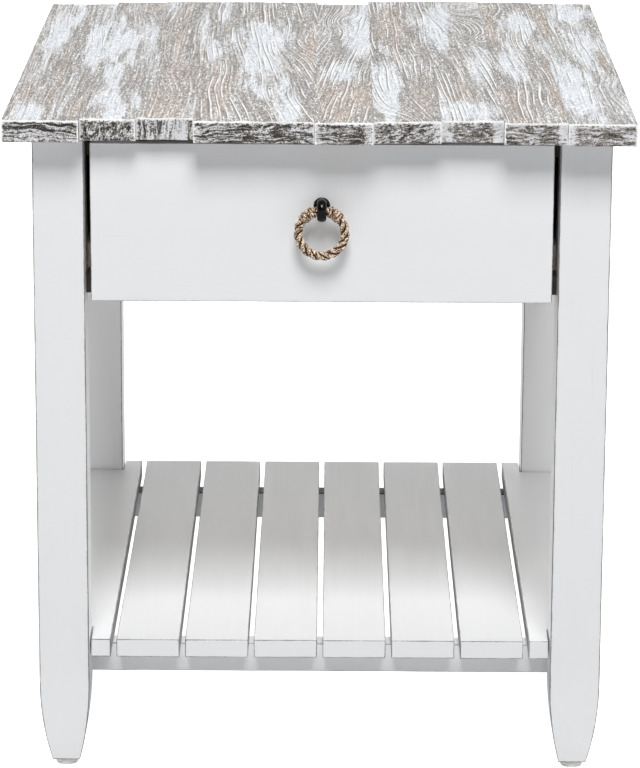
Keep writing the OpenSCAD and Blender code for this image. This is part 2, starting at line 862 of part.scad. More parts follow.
placed() top_screws();
placed() drawer_screws();
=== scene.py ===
"""Builds the looks of a side table with a drawer around its packed construction model.

Every piece is a surface worked out with numpy in metres, in the model's own frame: +X is to
the right, -Y is the front that the drawer opens to, and +Z is up from the floor.
"""

import math

import bpy
import numpy as np
from bpy.props import FloatProperty, FloatVectorProperty, IntProperty, PointerProperty
from mathutils import Matrix, Vector


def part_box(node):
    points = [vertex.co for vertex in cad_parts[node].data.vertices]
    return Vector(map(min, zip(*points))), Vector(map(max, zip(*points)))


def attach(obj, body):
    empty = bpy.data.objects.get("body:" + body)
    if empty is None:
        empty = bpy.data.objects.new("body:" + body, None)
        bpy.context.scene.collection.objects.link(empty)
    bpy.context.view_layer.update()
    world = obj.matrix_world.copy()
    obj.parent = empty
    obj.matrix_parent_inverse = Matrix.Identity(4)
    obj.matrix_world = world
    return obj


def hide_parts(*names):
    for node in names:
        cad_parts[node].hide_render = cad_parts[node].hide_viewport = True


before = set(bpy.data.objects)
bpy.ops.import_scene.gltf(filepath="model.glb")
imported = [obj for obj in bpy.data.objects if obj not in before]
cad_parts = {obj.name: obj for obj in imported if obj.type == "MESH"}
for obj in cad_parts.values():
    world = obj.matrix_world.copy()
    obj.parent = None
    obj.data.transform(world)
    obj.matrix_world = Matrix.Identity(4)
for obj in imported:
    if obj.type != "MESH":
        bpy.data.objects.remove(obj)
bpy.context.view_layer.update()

bl_info = {
    "name": "Side table with drawer",
    "version": (1, 0, 0),
    "blender": (4, 5, 0),
    "location": "3D View > Sidebar > Side table",
    "description": "Builds a whitewashed side table with a drawer and a slatted shelf",
    "category": "Add Mesh",
}

MM = 0.001
PER_METRE = 1000.0  # millimetres in a metre
BOARD_COUNT = 9
SLAT_COUNT = 8
LEG_NAMES = ("leg_front_left", "leg_front_right", "leg_rear_left", "leg_rear_right")
TABLE, DRAWER, RING = "table", "drawer", "pull_ring"
ARRIS_LINES = np.array([0, 0.35, 0.7, 1.0])  # grid lines beside an arris, in units of its radius


# ---------------------------------------------------------------- numbers and meshes


def corners(node):
    """Lowest and highest corner of a construction piece as two arrays."""
    low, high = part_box(node)
    return np.array(low), np.array(high)


def ripple(points, scale, seed, waves=28):
    """Smooth field between about -1 and 1: the sum of plane waves whose directions and phases are
    drawn from the seed and whose lengths lie near scale, one length for each axis."""
    rng = np.random.default_rng(seed)
    turn = rng.normal(size=(waves, 3))
    turn /= np.linalg.norm(turn, axis=1)[:, None]
    stretch = rng.uniform(0.6, 1.6, size=(waves, 1))
    wave = 2 * np.pi * turn * stretch / np.array(scale)
    phase = rng.uniform(0, 2 * np.pi, waves)
    return np.cos(points @ wave.T + phase).sum(axis=1) / math.sqrt(waves)


def smooth_step(low, high, value):
    """0 below low, 1 above high, and 3t^2 - 2t^3 between them."""
    t = np.clip((value - low) / (high - low), 0, 1)
    return t * t * (3 - 2 * t)


def cuts(low, high, cell, rim):
    """Grid lines from low to high: lines at the rim distances inside each end, even cells between."""
    rim = rim[rim < (high - low) * 0.45]
    inner_low, inner_high = low + rim[-1], high - rim[-1]
    count = max(1, round((inner_high - inner_low) / cell))
    middle = np.linspace(inner_low, inner_high, count + 1)
    return np.concatenate([low + rim[:-1], middle, (high - rim[:-1])[::-1]])


def cell_skin(xs, ys, zs, filled=None):
    """Closed skin of a block of cells. Each wall between a filled cell and an empty one is a quad
    that faces the empty one, and the walls share the grid's points."""
    shape = np.array([len(xs), len(ys), len(zs)]) - 1
    full = np.zeros(shape + 2, bool)
    full[1:-1, 1:-1, 1:-1] = True if filled is None else filled
    quads = []
    for axis in range(3):
        layers = np.moveaxis(full, axis, 0)
        for outward in (True, False):
            wall = layers[:-1] & ~layers[1:] if outward else ~layers[:-1] & layers[1:]
            i, j, k = np.nonzero(wall)
            ring = [(j - 1, k - 1), (j, k - 1), (j, k), (j - 1, k)]
            if outward == (axis == 1):
                ring = ring[::-1]
            points = []
            for index in ring:
                x, y, z = index[:axis] + (i,) + index[axis:]
                points.append((x * len(ys) + y) * len(zs) + z)
            quads.append(np.stack(points, axis=1))
    used, quads = np.unique(np.concatenate(quads), return_inverse=True)
    ix, rest = np.divmod(used, len(ys) * len(zs))
    iy, iz = np.divmod(rest, len(zs))
    return np.stack([xs[ix], ys[iy], zs[iz]], axis=1), quads.reshape(-1, 4)


def rounded(points, low, high, radius):
    """Rounds a box's arrises: a point is moved to the given radius round the nearest point of the
    box that is smaller by that radius on every side. The radius differs from point to point."""
    radius = radius[:, None]
    core = np.clip(points, low + radius, high - radius)
    away = points - core
    length = np.linalg.norm(away, axis=1, keepdims=True)
    return core + away * np.where(length > 1e-9, radius / np.maximum(length, 1e-9), 0)


def arris_nearness(points, low, high, reach):
    """1 on a box's arrises, falling evenly to 0 at the given reach from them."""
    to_side = np.minimum(points - low, high - points)
    return np.clip(1 - np.sort(to_side, axis=1)[:, 1] / reach, 0, 1)


def circle(count):
    """Angles evenly spaced round a circle."""
    return np.linspace(0, 2 * np.pi, count, endpoint=False)


def face_grid(rows, columns, wrap_rows=False):
    """Quads of a grid whose points are numbered row by row. Each row closes on itself, and so does
    each column where asked."""
    r, c = np.meshgrid(np.arange(rows if wrap_rows else rows - 1), np.arange(columns), indexing="ij")
    r2, c2 = (r + 1) % rows, (c + 1) % columns
    quads = [r * columns + c, r * columns + c2, r2 * columns + c2, r2 * columns + c]
    return np.stack(quads, axis=-1).reshape(-1, 4)


def end_fans(rows, sides):
    """Triangles that close a tube of the given rows and sides at both ends. Its points are followed
    by the middle of its first row and the middle of its last."""
    k = np.arange(sides)
    k2 = (k + 1) % sides
    first = np.full(sides, rows * sides)
    top = (rows - 1) * sides
    return [np.stack([first, k2, k], axis=1), np.stack([first + 1, top + k, top + k2], axis=1)]


def add_object(name, data):
    """Puts an object with the given data into the scene."""
    item = bpy.data.objects.new(name, data)
    bpy.context.scene.collection.objects.link(item)
    return item


def add_piece(name, points, faces, material, body, node, fields=None, sharp=35.0):
    """Makes a mesh object at the origin, gives it smooth faces that break at arrises sharper than
    the given degrees, parents it to the empty of the body it rides on and hides the construction
    piece that it stands for. faces is a list of arrays, and fields are the mesh's attributes."""
    mesh = bpy.data.meshes.new(name)
    mesh.from_pydata(points.tolist(), [], [face for part in faces for face in part.tolist()])
    mesh.validate()
    for label, values in (fields or {}).items():
        layer = mesh.attributes.new(label, "FLOAT", "POINT")
        layer.data.foreach_set("value", np.ascontiguousarray(values, dtype=np.float32))
    mesh.polygons.foreach_set("use_smooth", np.ones(len(mesh.polygons), bool))
    mesh.set_sharp_from_angle(angle=math.radians(sharp))
    mesh.materials.append(material)
    piece = add_object(name, mesh)
    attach(piece, body)
    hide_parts(node)


def turned(profile, sides, centre, axis):
    """Surface of revolution: a profile of (radius, height) points turned round an axis, with the
    first and last point on the axis so that the ends are closed by fans."""
    profile = np.array(profile, float)
    angle = circle(sides)
    body = profile[1:-1]
    ring = np.stack([np.cos(angle), np.sin(angle)], axis=1)
    flat = body[:, None, 0, None] * ring[None]
    height = np.broadcast_to(body[:, None, 1, None], flat.shape[:2] + (1,))
    points = np.concatenate([flat, height], axis=2).reshape(-1, 3)
    points = np.vstack([points, [0, 0, profile[0, 1]], [0, 0, profile[-1, 1]]])
    turn = np.array(Vector((0, 0, 1)).rotation_difference(Vector(axis)).to_matrix())
    faces = [face_grid(len(body), sides), *end_fans(len(body), sides)]
    return points @ turn.T + np.array(centre), faces


# ---------------------------------------------------------------- material helpers


class Field:
    """A value that varies over a surface, held as a node's output. Arithmetic with fields and
    numbers adds Math nodes."""

    def __init__(self, socket):
        self.socket = socket
        self.tree = socket.id_data

    def __add__(self, other):
        return calc("ADD", self, other)

    def __sub__(self, other):
        return calc("SUBTRACT", self, other)

    def __rsub__(self, other):
        return calc("SUBTRACT", other, self)

    def __mul__(self, other):
        return calc("MULTIPLY", self, other)

    def __truediv__(self, other):
        return calc("DIVIDE", self, other)

    def __abs__(self):
        return calc("ABSOLUTE", self)

    __radd__ = __add__


def feed(socket, value):
    """Links a field to a socket, or sets the socket to a number, vector or colour."""
    if isinstance(value, Field):
        value.tree.links.new(value.socket, socket)
    else:
        socket.default_value = value


def put(tree, kind, inputs=None, **settings):
    """Adds a node, sets its properties and feeds its inputs."""
    node = tree.nodes.new(kind)
    for key, value in settings.items():
        setattr(node, key, value)
    for key, value in (inputs or {}).items():
        feed(node.inputs[key], value)
    return node


def calc(operation, *values, clamp=False):
    """Result of a Math node. At least one of the values is a field."""
    tree = next(value.tree for value in values if isinstance(value, Field))
    node = put(tree, "ShaderNodeMath", dict(enumerate(values)), operation=operation, use_clamp=clamp)
    return Field(node.outputs[0])


def blend_colour(factor, a, b):
    """Colour that goes from a, where the factor is 0, to b, where it is 1. The Mix node's sockets
    are numbered, because its names stand for other kinds of value as well."""
    a, b = (value if isinstance(value, Field) else (*value, 1) for value in (a, b))
    node = put(factor.tree, "ShaderNodeMix", {0: factor, 6: a, 7: b}, data_type="RGBA")
    return Field(node.outputs[2])


def remap(value, low, high, out_low=0.0, out_high=1.0):
    """The value carried smoothly from one range to another, and held at its ends."""
    limits = {"Value": value, "From Min": low, "From Max": high, "To Min": out_low, "To Max": out_high}
    node = put(value.tree, "ShaderNodeMapRange", limits, interpolation_type="SMOOTHSTEP")
    return Field(node.outputs["Result"])


def noise(place, detail, roughness, distortion=0.0, scale=1.0):
    """Smooth noise between about 0 and 1."""
    inputs = {"Vector": place, "Scale": scale, "Detail": detail, "Roughness": roughness,
              "Distortion": distortion}
    return Field(put(place.tree, "ShaderNodeTexNoise", inputs).outputs["Fac"])


def combine(x, y, z):
    """Vector of three values, of which x is a field."""
    return Field(put(x.tree, "ShaderNodeCombineXYZ", {"X": x, "Y": y, "Z": z}).outputs[0])


def axes(vector):
    """The three values of a vector."""
    node = put(vector.tree, "ShaderNodeSeparateXYZ", {"Vector": vector})
    return [Field(socket) for socket in node.outputs]


def attribute(tree, name):
    """Value of a float attribute of the mesh."""
    return Field(put(tree, "ShaderNodeAttribute", attribute_name=name).outputs["Fac"])


def stretched(place, scale, seed=0.0):
    """Place scaled by one number or along each axis, so that a pattern gets long where the scale is
    small. The seed shifts it to another part of the pattern."""
    scale = scale if np.iterable(scale) else (scale, scale, scale)
    inputs = {"Vector": place, "Location": (0.0, 0.0, seed), "Scale": scale}
    return Field(put(place.tree, "ShaderNodeMapping", inputs).outputs[0])


def weighted(*terms):
    """0.5 plus a sum of fields times weights, each field measured from 0.5."""
    total = 0.5
    for value, weight in terms:
        total = total + (value - 0.5) * weight
    return total


def new_material(name):
    """A material, its Principled shader, and Object coordinates, which are the model's own frame
    in metres."""
    material = bpy.data.materials.new(name)
    material.use_nodes = True
    tree = material.node_tree
    place = Field(put(tree, "ShaderNodeTexCoord").outputs["Object"])
    return material, tree.nodes["Principled BSDF"], place


def finish(shader, colour, roughness, height, strength, depth):
    """Feeds a shader its colour and roughness, and a height as a bump of the given depth."""
    bump = put(height.tree, "ShaderNodeBump", {"Strength": strength, "Distance": depth, "Height": height})
    feed(shader.inputs["Base Color"], colour)
    feed(shader.inputs["Roughness"], roughness)
    feed(shader.inputs["Normal"], Field(bump.outputs[0]))


# ---------------------------------------------------------------- shared effects


def new_group(name, inputs, outputs):
    """Empty shader node group. Its inputs are given by name with their defaults, where None stands
    for a vector, and its outputs by name. Returns the inputs as fields and the outputs' sockets."""
    tree = bpy.data.node_groups.new(name, "ShaderNodeTree")
    for label, default in inputs.items():
        kind = "NodeSocketVector" if default is None else "NodeSocketFloat"
        socket = tree.interface.new_socket(label, in_out="INPUT", socket_type=kind)
        if default is not None:
            socket.default_value = default
    for label in outputs:
        tree.interface.new_socket(label, in_out="OUTPUT", socket_type="NodeSocketFloat")
    enter = tree.nodes.new("NodeGroupInput")
    leave = tree.nodes.new("NodeGroupOutput")
    return {label: Field(enter.outputs[label]) for label in inputs}, leave.inputs


def use_group(tree, name, inputs):
    """Places a node group, feeds its inputs and returns its outputs by name."""
    node = put(tree, "ShaderNodeGroup", inputs, node_tree=bpy.data.node_groups[name])
    return {socket.name: Field(socket) for socket in node.outputs}


def make_grain_group():
    """Wood grain. Flow is the distance across the grain and Along the distance along the board,
    both in millimetres, and Slope is how fast Flow changes over the surface. Fine and Broad are
    noise drawn out along the grain. Dark is a thin late wood line wherever Flow passes a whole
    number of Spacings, and White a pale line beside it, partly whitewash and partly a painted
    highlight on its raised edge, both of even width because their distance is divided by Slope."""
    inputs, outputs = new_group(
        "Wood grain", {"Flow": 0.0, "Along": 0.0, "Slope": 1.0, "Seed": 0.0, "Spacing": 5.0},
        ("Fine", "Broad", "Dark", "White"))
    flow, along, slope, seed, spacing = inputs.values()

    def drawn_out(across_scale, along_scale, detail, roughness):
        """Noise whose scales are per millimetre across and along the grain."""
        return noise(combine(flow * across_scale, along * along_scale, seed), detail, roughness)

    wander = drawn_out(0.05, 0.004, 2.0, 0.5)
    away = (calc("FRACT", flow / spacing + wander * 2.4) - 0.5) * spacing / slope
    present = remap(drawn_out(0.10, 0.007, 3.0, 0.6), 0.47, 0.58)
    feed(outputs["Fine"], drawn_out(0.50, 0.012, 3.0, 0.75))
    feed(outputs["Broad"], drawn_out(0.08, 0.0045, 3.0, 0.6))
    feed(outputs["Dark"], remap(abs(away), 0.85, 0.3) * present)
    feed(outputs["White"], remap(abs(away - 1.25), 0.9, 0.35) * present)


def make_wear_group():
    """Arris wear. Near is 1 on an arris and 0 away from it. Noise decides where along it the finish
    has rubbed through, and Amount how far that reaches. Worn is bare wood and Soft the thinned
    finish round it."""
    inputs, outputs = new_group(
        "Arris wear", {"Near": 0.0, "Place": None, "Amount": 0.5}, ("Worn", "Soft"))
    patchy = noise(stretched(inputs["Place"], 38.0), 3.0, 0.6)
    fine = noise(stretched(inputs["Place"], 420.0), 3.0, 0.7)
    level = inputs["Near"] + (patchy * 0.7 + fine * 0.5)
    past_limit = level - (1.95 - inputs["Amount"])
    feed(outputs["Worn"], remap(past_limit, -0.05, 0.07))
    feed(outputs["Soft"], remap(past_limit, -0.55, 0.15))


def make_brush_group():
    """Brushed paint: fine parallel marks along one direction, set by the stretch of Place, and
    broad slow changes in tone."""
    inputs, outputs = new_group("Brushed paint", {"Place": None}, ("Marks", "Tone"))
    feed(outputs["Marks"], noise(inputs["Place"], 4.0, 0.6))
    feed(outputs["Tone"], noise(stretched(inputs["Place"], 0.035), 3.0, 0.55))


# ---------------------------------------------------------------- driftwood top


# How each board was sawn and washed. lean is how far the grain turns from the board's length and
# fan how it closes up towards the rear, per millimetre. lines is the strength of the growth lines
# and spacing their distance in millimetres. warmth is how far the bare wood goes from grey to tan.
# wash and warm are patches of white wash and of bare tan wood as (across, along, half width, half
# length, strength), with across and along running from 0 at the left and the front to 1 at the
# right and the rear. knots are (across, along, radius, push), the last two in millimetres. end is
# the sawn end's grain: its angle in degrees, layers per millimetre, how short its streaks are, its
# lift towards white and its contrast. pale lists stretches of the end, from 0 to 1, that kept more
# white.
BOARD_MARKS = (
    dict(lean=0.0, fan=0.0, spacing=7.0, warmth=0.35, lines=0.5, knots=(),
         wash=((0.30, 0.75, 0.20, 0.20, 0.8), (0.92, 0.55, 0.20, 0.17, 0.8), (0.35, 0.05, 0.32, 0.07, 0.9)),
         warm=((0.15, 0.21, 0.07, 0.09, 1.0), (0.53, 0.28, 0.07, 0.25, 0.8), (0.93, 0.10, 0.06, 0.10, 1.0)),
         end=(-3, 0.32, 0.04, 0.04, 1.08), pale=()),
    dict(lean=-0.01, fan=0.0, spacing=6.5, warmth=0.15, lines=0.3, knots=((0.9, 0.93, 14, 12),),
         wash=((0.30, 0.52, 0.35, 0.24, 1.0), (0.35, 0.60, 0.30, 0.10, 0.7), (0.55, 0.10, 0.40, 0.10, 1.0)),
         warm=((0.40, 0.92, 0.35, 0.08, 0.35), (0.88, 0.95, 0.10, 0.05, 1.0)),
         end=(75, 0.42, 0.4, -0.04, 1.0), pale=((0.0, 0.05), (0.94, 1.0))),
    dict(lean=0.0, fan=0.0, spacing=6.0, warmth=0.6, lines=0.5, knots=((0.45, 0.35, 14, 8),),
         wash=((0.88, 0.79, 0.10, 0.16, 0.7), (0.10, 0.45, 0.08, 0.20, 0.4)),
         warm=((0.55, 0.18, 0.50, 0.24, 0.6), (0.45, 0.65, 0.14, 0.30, 0.6)),
         end=(88, 0.36, 0.12, 0.0, 1.0), pale=((0.55, 0.85),)),
    dict(lean=-0.045, fan=0.0008, spacing=5.5, warmth=0.4, lines=1.0, knots=((0.85, 0.62, 20, 13),),
         wash=((0.55, 0.64, 0.24, 0.13, 0.8), (0.74, 0.12, 0.14, 0.13, 1.0), (0.45, 0.40, 0.12, 0.12, 0.6),
               (0.07, 0.56, 0.08, 0.10, 0.6), (0.10, 0.87, 0.08, 0.12, 0.5)),
         warm=((0.18, 0.24, 0.17, 0.20, 0.8), (0.92, 0.56, 0.10, 0.15, 0.9), (0.45, 0.87, 0.12, 0.08, 0.5)),
         end=(3, 0.55, 0.12, 0.0, 1.05), pale=((0.0, 0.03),)),
    dict(lean=0.07, fan=0.0004, spacing=4.5, warmth=0.35, lines=0.9, knots=((0.45, 0.84, 14, 14),),
         wash=((0.50, 0.38, 0.40, 0.08, 0.7), (0.80, 0.70, 0.25, 0.20, 0.55)),
         warm=((0.45, 0.16, 0.50, 0.16, 1.0),),
         end=(0, 0.5, 0.09, 0.0, 0.92), pale=((0.0, 0.06), (0.86, 1.0))),
    dict(lean=-0.035, fan=0.0, spacing=4.8, warmth=0.3, lines=1.0, knots=((0.45, -0.04, 24, -34),),
         wash=((0.20, 0.24, 0.26, 0.20, 1.0), (0.95, 0.75, 0.10, 0.15, 0.6)),
         warm=((0.38, 0.76, 0.26, 0.22, 0.7), (0.75, 0.20, 0.10, 0.14, 0.7)),
         end=(18, 0.6, 0.2, 0.02, 0.85), pale=((0.86, 1.0),)),
    dict(lean=-0.06, fan=0.0, spacing=4.5, warmth=0.3, lines=1.0,
         knots=((0.5, 0.93, 22, 38), (0.85, 0.64, 9, 15)),
         wash=((0.20, 0.74, 0.20, 0.20, 1.0), (0.50, 0.07, 0.50, 0.07, 0.6), (0.80, 0.40, 0.15, 0.12, 0.5)),
         warm=((0.40, 0.20, 0.28, 0.08, 0.7),),
         end=(0, 0.5, 0.3, 0.05, 0.62), pale=((0.0, 0.18), (0.84, 1.0))),
    dict(lean=-0.035, fan=0.0, spacing=6.0, warmth=0.35, lines=1.0, knots=((0.2, 0.85, 12, 9),),
         wash=((0.75, 0.79, 0.25, 0.07, 1.0), (0.30, 0.47, 0.25, 0.12, 0.7)),
         warm=((0.15, 0.82, 0.12, 0.18, 1.0), (0.20, 0.10, 0.18, 0.12, 0.8), (0.93, 0.22, 0.06, 0.20, 1.0),
               (0.50, 0.65, 0.05, 0.20, 0.8)),
         end=(0, 0.6, 0.12, 0.06, 0.66), pale=((0.87, 1.0),)),
    dict(lean=-0.01, fan=0.0, spacing=8.0, warmth=0.15, lines=0.8, knots=((0.85, 0.25, 18, 11),),
         wash=((0.60, 0.90, 0.30, 0.07, 0.9), (0.25, 0.24, 0.25, 0.20, 0.9), (0.60, 0.60, 0.35, 0.20, 0.6)),
         warm=((0.10, 0.84, 0.10, 0.16, 1.0), (0.85, 0.50, 0.08, 0.12, 0.7)),
         end=(4, 0.55, 0.10, 0.08, 0.62), pale=((0.0, 0.1),)),
)


def grain_flow(points, low, high, marks, seed):
    """Distance of each point across the grain in millimetres: the place across the board, leaning,
    fanning and waving slowly along it, and pushed aside round the knots."""
    across, along, up = ((points - (low + high) / 2) / MM).T
    flow = across * (1 + marks["fan"] * along) - marks["lean"] * along + 0.6 * up
    flow += 3 * ripple(points * [0, 1, 0], 0.40, seed, 10)
    flow += 1.1 * ripple(points, (0.06, 0.26, 0.05), seed + 2)
    flow += 0.25 * ripple(points, (0.02, 0.07, 0.04), seed + 3)
    for u, v, radius, push in marks["knots"]:
        middle = low[:2] + (high - low)[:2] * [u, v]
        offset = (points[:, :2] - middle) / MM / [radius, 3.2 * radius]
        flow += push * np.exp(-(offset ** 2).sum(axis=1))
    return flow


def grain_slope(points, flow, low, high, marks, seed):
    """How fast the grain's distance changes over the upper face, per millimetre: its change over a
    short step to the right and to the rear."""
    step = 0.5 * MM
    change = [(grain_flow(points + np.eye(3)[k] * step, low, high, marks, seed) - flow) / (step / MM)
              for k in (0, 1)]
    return np.clip(np.hypot(*change), 0.18, 3)


def patches(points, low, high, spots, seed):
    """Sum of soft oval patches with ragged rims, limited to 1."""
    share = (points - low) / (high - low)
    ragged = 0.3 * ripple(points, (0.03, 0.20, 0.05), seed)
    ragged += 0.25 * ripple(points, (0.008, 0.12, 0.02), seed + 1)
    total = np.zeros(len(points))
    for u, v, wide, long, strength in spots:
        reach = np.hypot((share[:, 0] - u) / wide, (share[:, 1] - v) / long) + ragged
        total += strength * (1 - smooth_step(0.2, 1.5, reach))
    return np.clip(total, 0, 1)


def stretches(points, low, high, spans):
    """1 inside any of the spans across the board and 0 outside, with soft ends."""
    share = (points[:, 0] - low[0]) / (high[0] - low[0])
    total = np.zeros(len(points))
    for start, end in spans:
        inside = smooth_step(start - 0.04, start + 0.02, share)
        inside *= 1 - smooth_step(end - 0.02, end + 0.04, share)
        total = np.maximum(total, inside)
    return total


def board_mesh(index, settings):
    """Skin and attributes of one board: a gridded block with tight long arrises, soft ends that are
    worn unevenly inwards, and a brushed upper face whose height follows the grain."""
    low, high = corners(f"top_board_{index + 1}")
    marks = BOARD_MARKS[index]
    seed = 40 + 10 * index
    radius = settings.rounding
    rim = np.append(ARRIS_LINES, 2.2) * radius
    xs = cuts(low[0], high[0], settings.cell_across, 0.5 * rim)
    ys = cuts(low[1], high[1], settings.cell_along, np.append(rim, [4.5 * radius, 8 * radius]))
    zs = cuts(low[2], high[2], settings.cell_up, rim)
    points, quads = cell_skin(xs, ys, zs)

    def uneven(scale, step):
        """Noise over the board with wave lengths near scale in metres, and a seed of its own."""
        return ripple(points, scale, seed + step)

    flow = grain_flow(points, low, high, marks, seed)
    to_side, to_end = np.minimum(points - low, high - points)[:, :2].T
    to_top = high[2] - points[:, 2]
    upper = 1 - smooth_step(0, 0.3 * radius, to_top)
    end_zone = 1 - smooth_step(0, 9 * MM, to_end)
    near_end = 1 - smooth_step(2 * MM, 14 * MM, to_end)
    wear = radius * (1 + 0.45 * uneven((0.02, 0.03, 0.02), 5))
    wear = np.clip(wear, 0.45 * radius, 1.8 * radius) * (0.35 + 0.65 * near_end)
    shaped = rounded(points, low, high, wear)

    inward = np.where(points[:, 1] < (low[1] + high[1]) / 2, 1, -1)
    sawn = 0.5 * uneven((0.03, 0.03, 0.012), 6) + 0.3 * uneven((0.008, 0.01, 0.005), 7)
    chipped = np.clip(uneven((0.014, 0.02, 0.01), 8) - 0.7, 0, 1)
    chipped *= smooth_step(0.2, 1, arris_nearness(points, low, high, rim[-1]))
    depth = settings.end_wear * (np.clip(0.5 + sawn, 0, 1.2) + 1.2 * chipped)
    shaped[:, 1] += inward * end_zone * depth

    inset = smooth_step(0, 4 * radius, to_side)
    brushed = np.sin(flow * 2 * np.pi / marks["spacing"]) * 0.5 + uneven((0.006, 0.09, 0.02), 9)
    shaped[:, 2] -= upper * inset * settings.relief * np.clip(0.6 + 0.4 * brushed, 0, 1.4)
    sunken = np.clip(0.6 + uneven((0.03, 0.02, 0.02), 4), 0, 2)
    shaped[:, 2] -= upper * end_zone * 0.5 * MM * sunken

    # end_rim marks the ends' upper and side arrises, which get a painted white highlight
    rim_top = 1 - np.hypot(to_end, to_top) / settings.rim_width
    rim_side = 1 - np.hypot(to_end, 1.3 * to_side) / settings.rim_width
    fields = {
        "flow": flow,
        "slope": grain_slope(points, flow, low, high, marks, seed),
        "wash": patches(points, low, high, marks["wash"], seed + 20),
        "warm": patches(points, low, high, marks["warm"], seed + 25),
        "sawn_end": 1 - smooth_step(0, 0.4 * radius, to_end),
        "end_rim": np.clip(np.maximum(rim_top, 0.85 * rim_side), 0, 1),
        "pale_end": stretches(points, low, high, marks["pale"]),
    }
    return shaped, quads, fields


def washed_face(place, marks, seed, settings):
    """Colour, roughness and height of a board's planed faces: grey and tan wood under streaks of
    white wash, with dark pores, raised fibres and growth lines."""
    tree = place.tree
    grain = use_group(tree, "Wood grain", {
        "Flow": attribute(tree, "flow"), "Along": axes(place)[1] * PER_METRE,
        "Slope": attribute(tree, "slope"), "Seed": seed, "Spacing": marks["spacing"]})
    fine, broad = grain["Fine"], grain["Broad"]
    flecks = noise(stretched(place, (640.0, 140.0, 640.0), seed), 2.0, 0.8, 1.0)
    clouds = noise(stretched(place, (34.0, 3.0, 34.0), seed), 2.0, 0.5)
    wash, bare = attribute(tree, "wash"), attribute(tree, "warm")

    warm = remap(weighted((broad, 3.0), (clouds, 1.6)), 0.3, 0.8) * marks["warmth"]
    warm = calc("ADD", warm, bare * 0.9, clamp=True)
    colour = blend_colour(warm, settings.cool_wood, settings.tan_wood)
    cover = weighted((fine, 1.6), (broad, 1.3), (flecks, 0.9), (clouds, 2.0))
    cover = cover + wash * 1.25 - bare * 0.55
    cover = remap(cover, settings.wash_limit, settings.wash_limit + settings.wash_softness)
    colour = blend_colour(cover, colour, settings.wash_colour)

    grit = weighted((flecks, 2.2), (fine, 1.0))
    pores = remap(grit, 0.48, 0.08) * (settings.pore_depth - cover * 0.25)
    specks = remap(grit, 0.54, 0.88) * settings.speck_depth
    scored = grain["Dark"] * (settings.line_depth * marks["lines"])
    # pale line beside each growth line: partly whitewash, partly a painted highlight on its raised edge
    pale_grain_line = grain["White"] * (0.8 * marks["lines"])
    for mask, layer in ((pores, settings.pore), (specks, settings.rim_colour),
                        (scored, settings.line_colour), (pale_grain_line, settings.rim_colour)):
        colour = blend_colour(mask, colour, layer)
    height = weighted((fine, 1.4), (flecks, 1.4), (broad, 0.4)) - scored * 0.7 + pale_grain_line * 0.5
    return colour, remap(fine, 0.3, 0.7, 0.75, 0.6), height


def sawn_face(place, scuff, marks, seed, settings):
    """Colour of a board's sawn ends: waving layers at the board's own angle, dark between pale."""
    across, _, up = (value * PER_METRE for value in axes(place))
    angle, layers, short, lift, contrast = marks["end"]
    cos, sin = math.cos(math.radians(angle)), math.sin(math.radians(angle))
    beside = across * cos + up * sin
    layered = up * cos - across * sin
    bend = noise(combine(beside * 0.045, layered * 0.09, seed), 2.0, 0.5)
    layered = layered + bend * 11.0
    growth = noise(combine(layered * layers, beside * (layers * short), seed), 4.0, 0.72)
    crumbs = noise(stretched(place, 900.0, seed), 2.0, 0.8)
    tone = weighted((growth, 4.4 * contrast), (scuff, 2.0 * contrast), (crumbs, 2.2 * contrast))
    tone = tone + attribute(place.tree, "pale_end") * 0.38 + (lift + settings.end_lift)
    colour = blend_colour(remap(tone, 0.17, 0.52), settings.end_dark, settings.end_middle)
    return blend_colour(remap(tone, 0.52, 0.94), colour, settings.end_light)


def driftwood_material(index, settings):
    """Whitewashed driftwood for one board: washed faces, sawn ends and a painted white highlight
    along the ends' upper and side arrises."""
    marks = BOARD_MARKS[index]
    seed = 3.7 * index + 1.3
    material, shader, place = new_material(f"driftwood_{index + 1}")
    scuff = noise(stretched(place, (330.0, 330.0, 480.0), seed), 3.0, 0.75)
    face, roughness, height = washed_face(place, marks, seed, settings)
    end = sawn_face(place, scuff, marks, seed, settings)
    colour = blend_colour(attribute(place.tree, "sawn_end"), face, end)
    rim_highlight = attribute(place.tree, "end_rim") + weighted((scuff, 1.4))
    rim = remap(rim_highlight, settings.rim_limit, settings.rim_limit + 0.25)
    finish(shader, blend_colour(rim, colour, settings.rim_colour), roughness, height, 0.6, 0.7 * MM)
    return material


# ---------------------------------------------------------------- white painted base


# The front legs' paint grows paler towards the foot: painted light near the floor.
FOOT_PAINTED_LIGHT = 1.17  # how much paler than the rest the paint of a front leg is at its foot


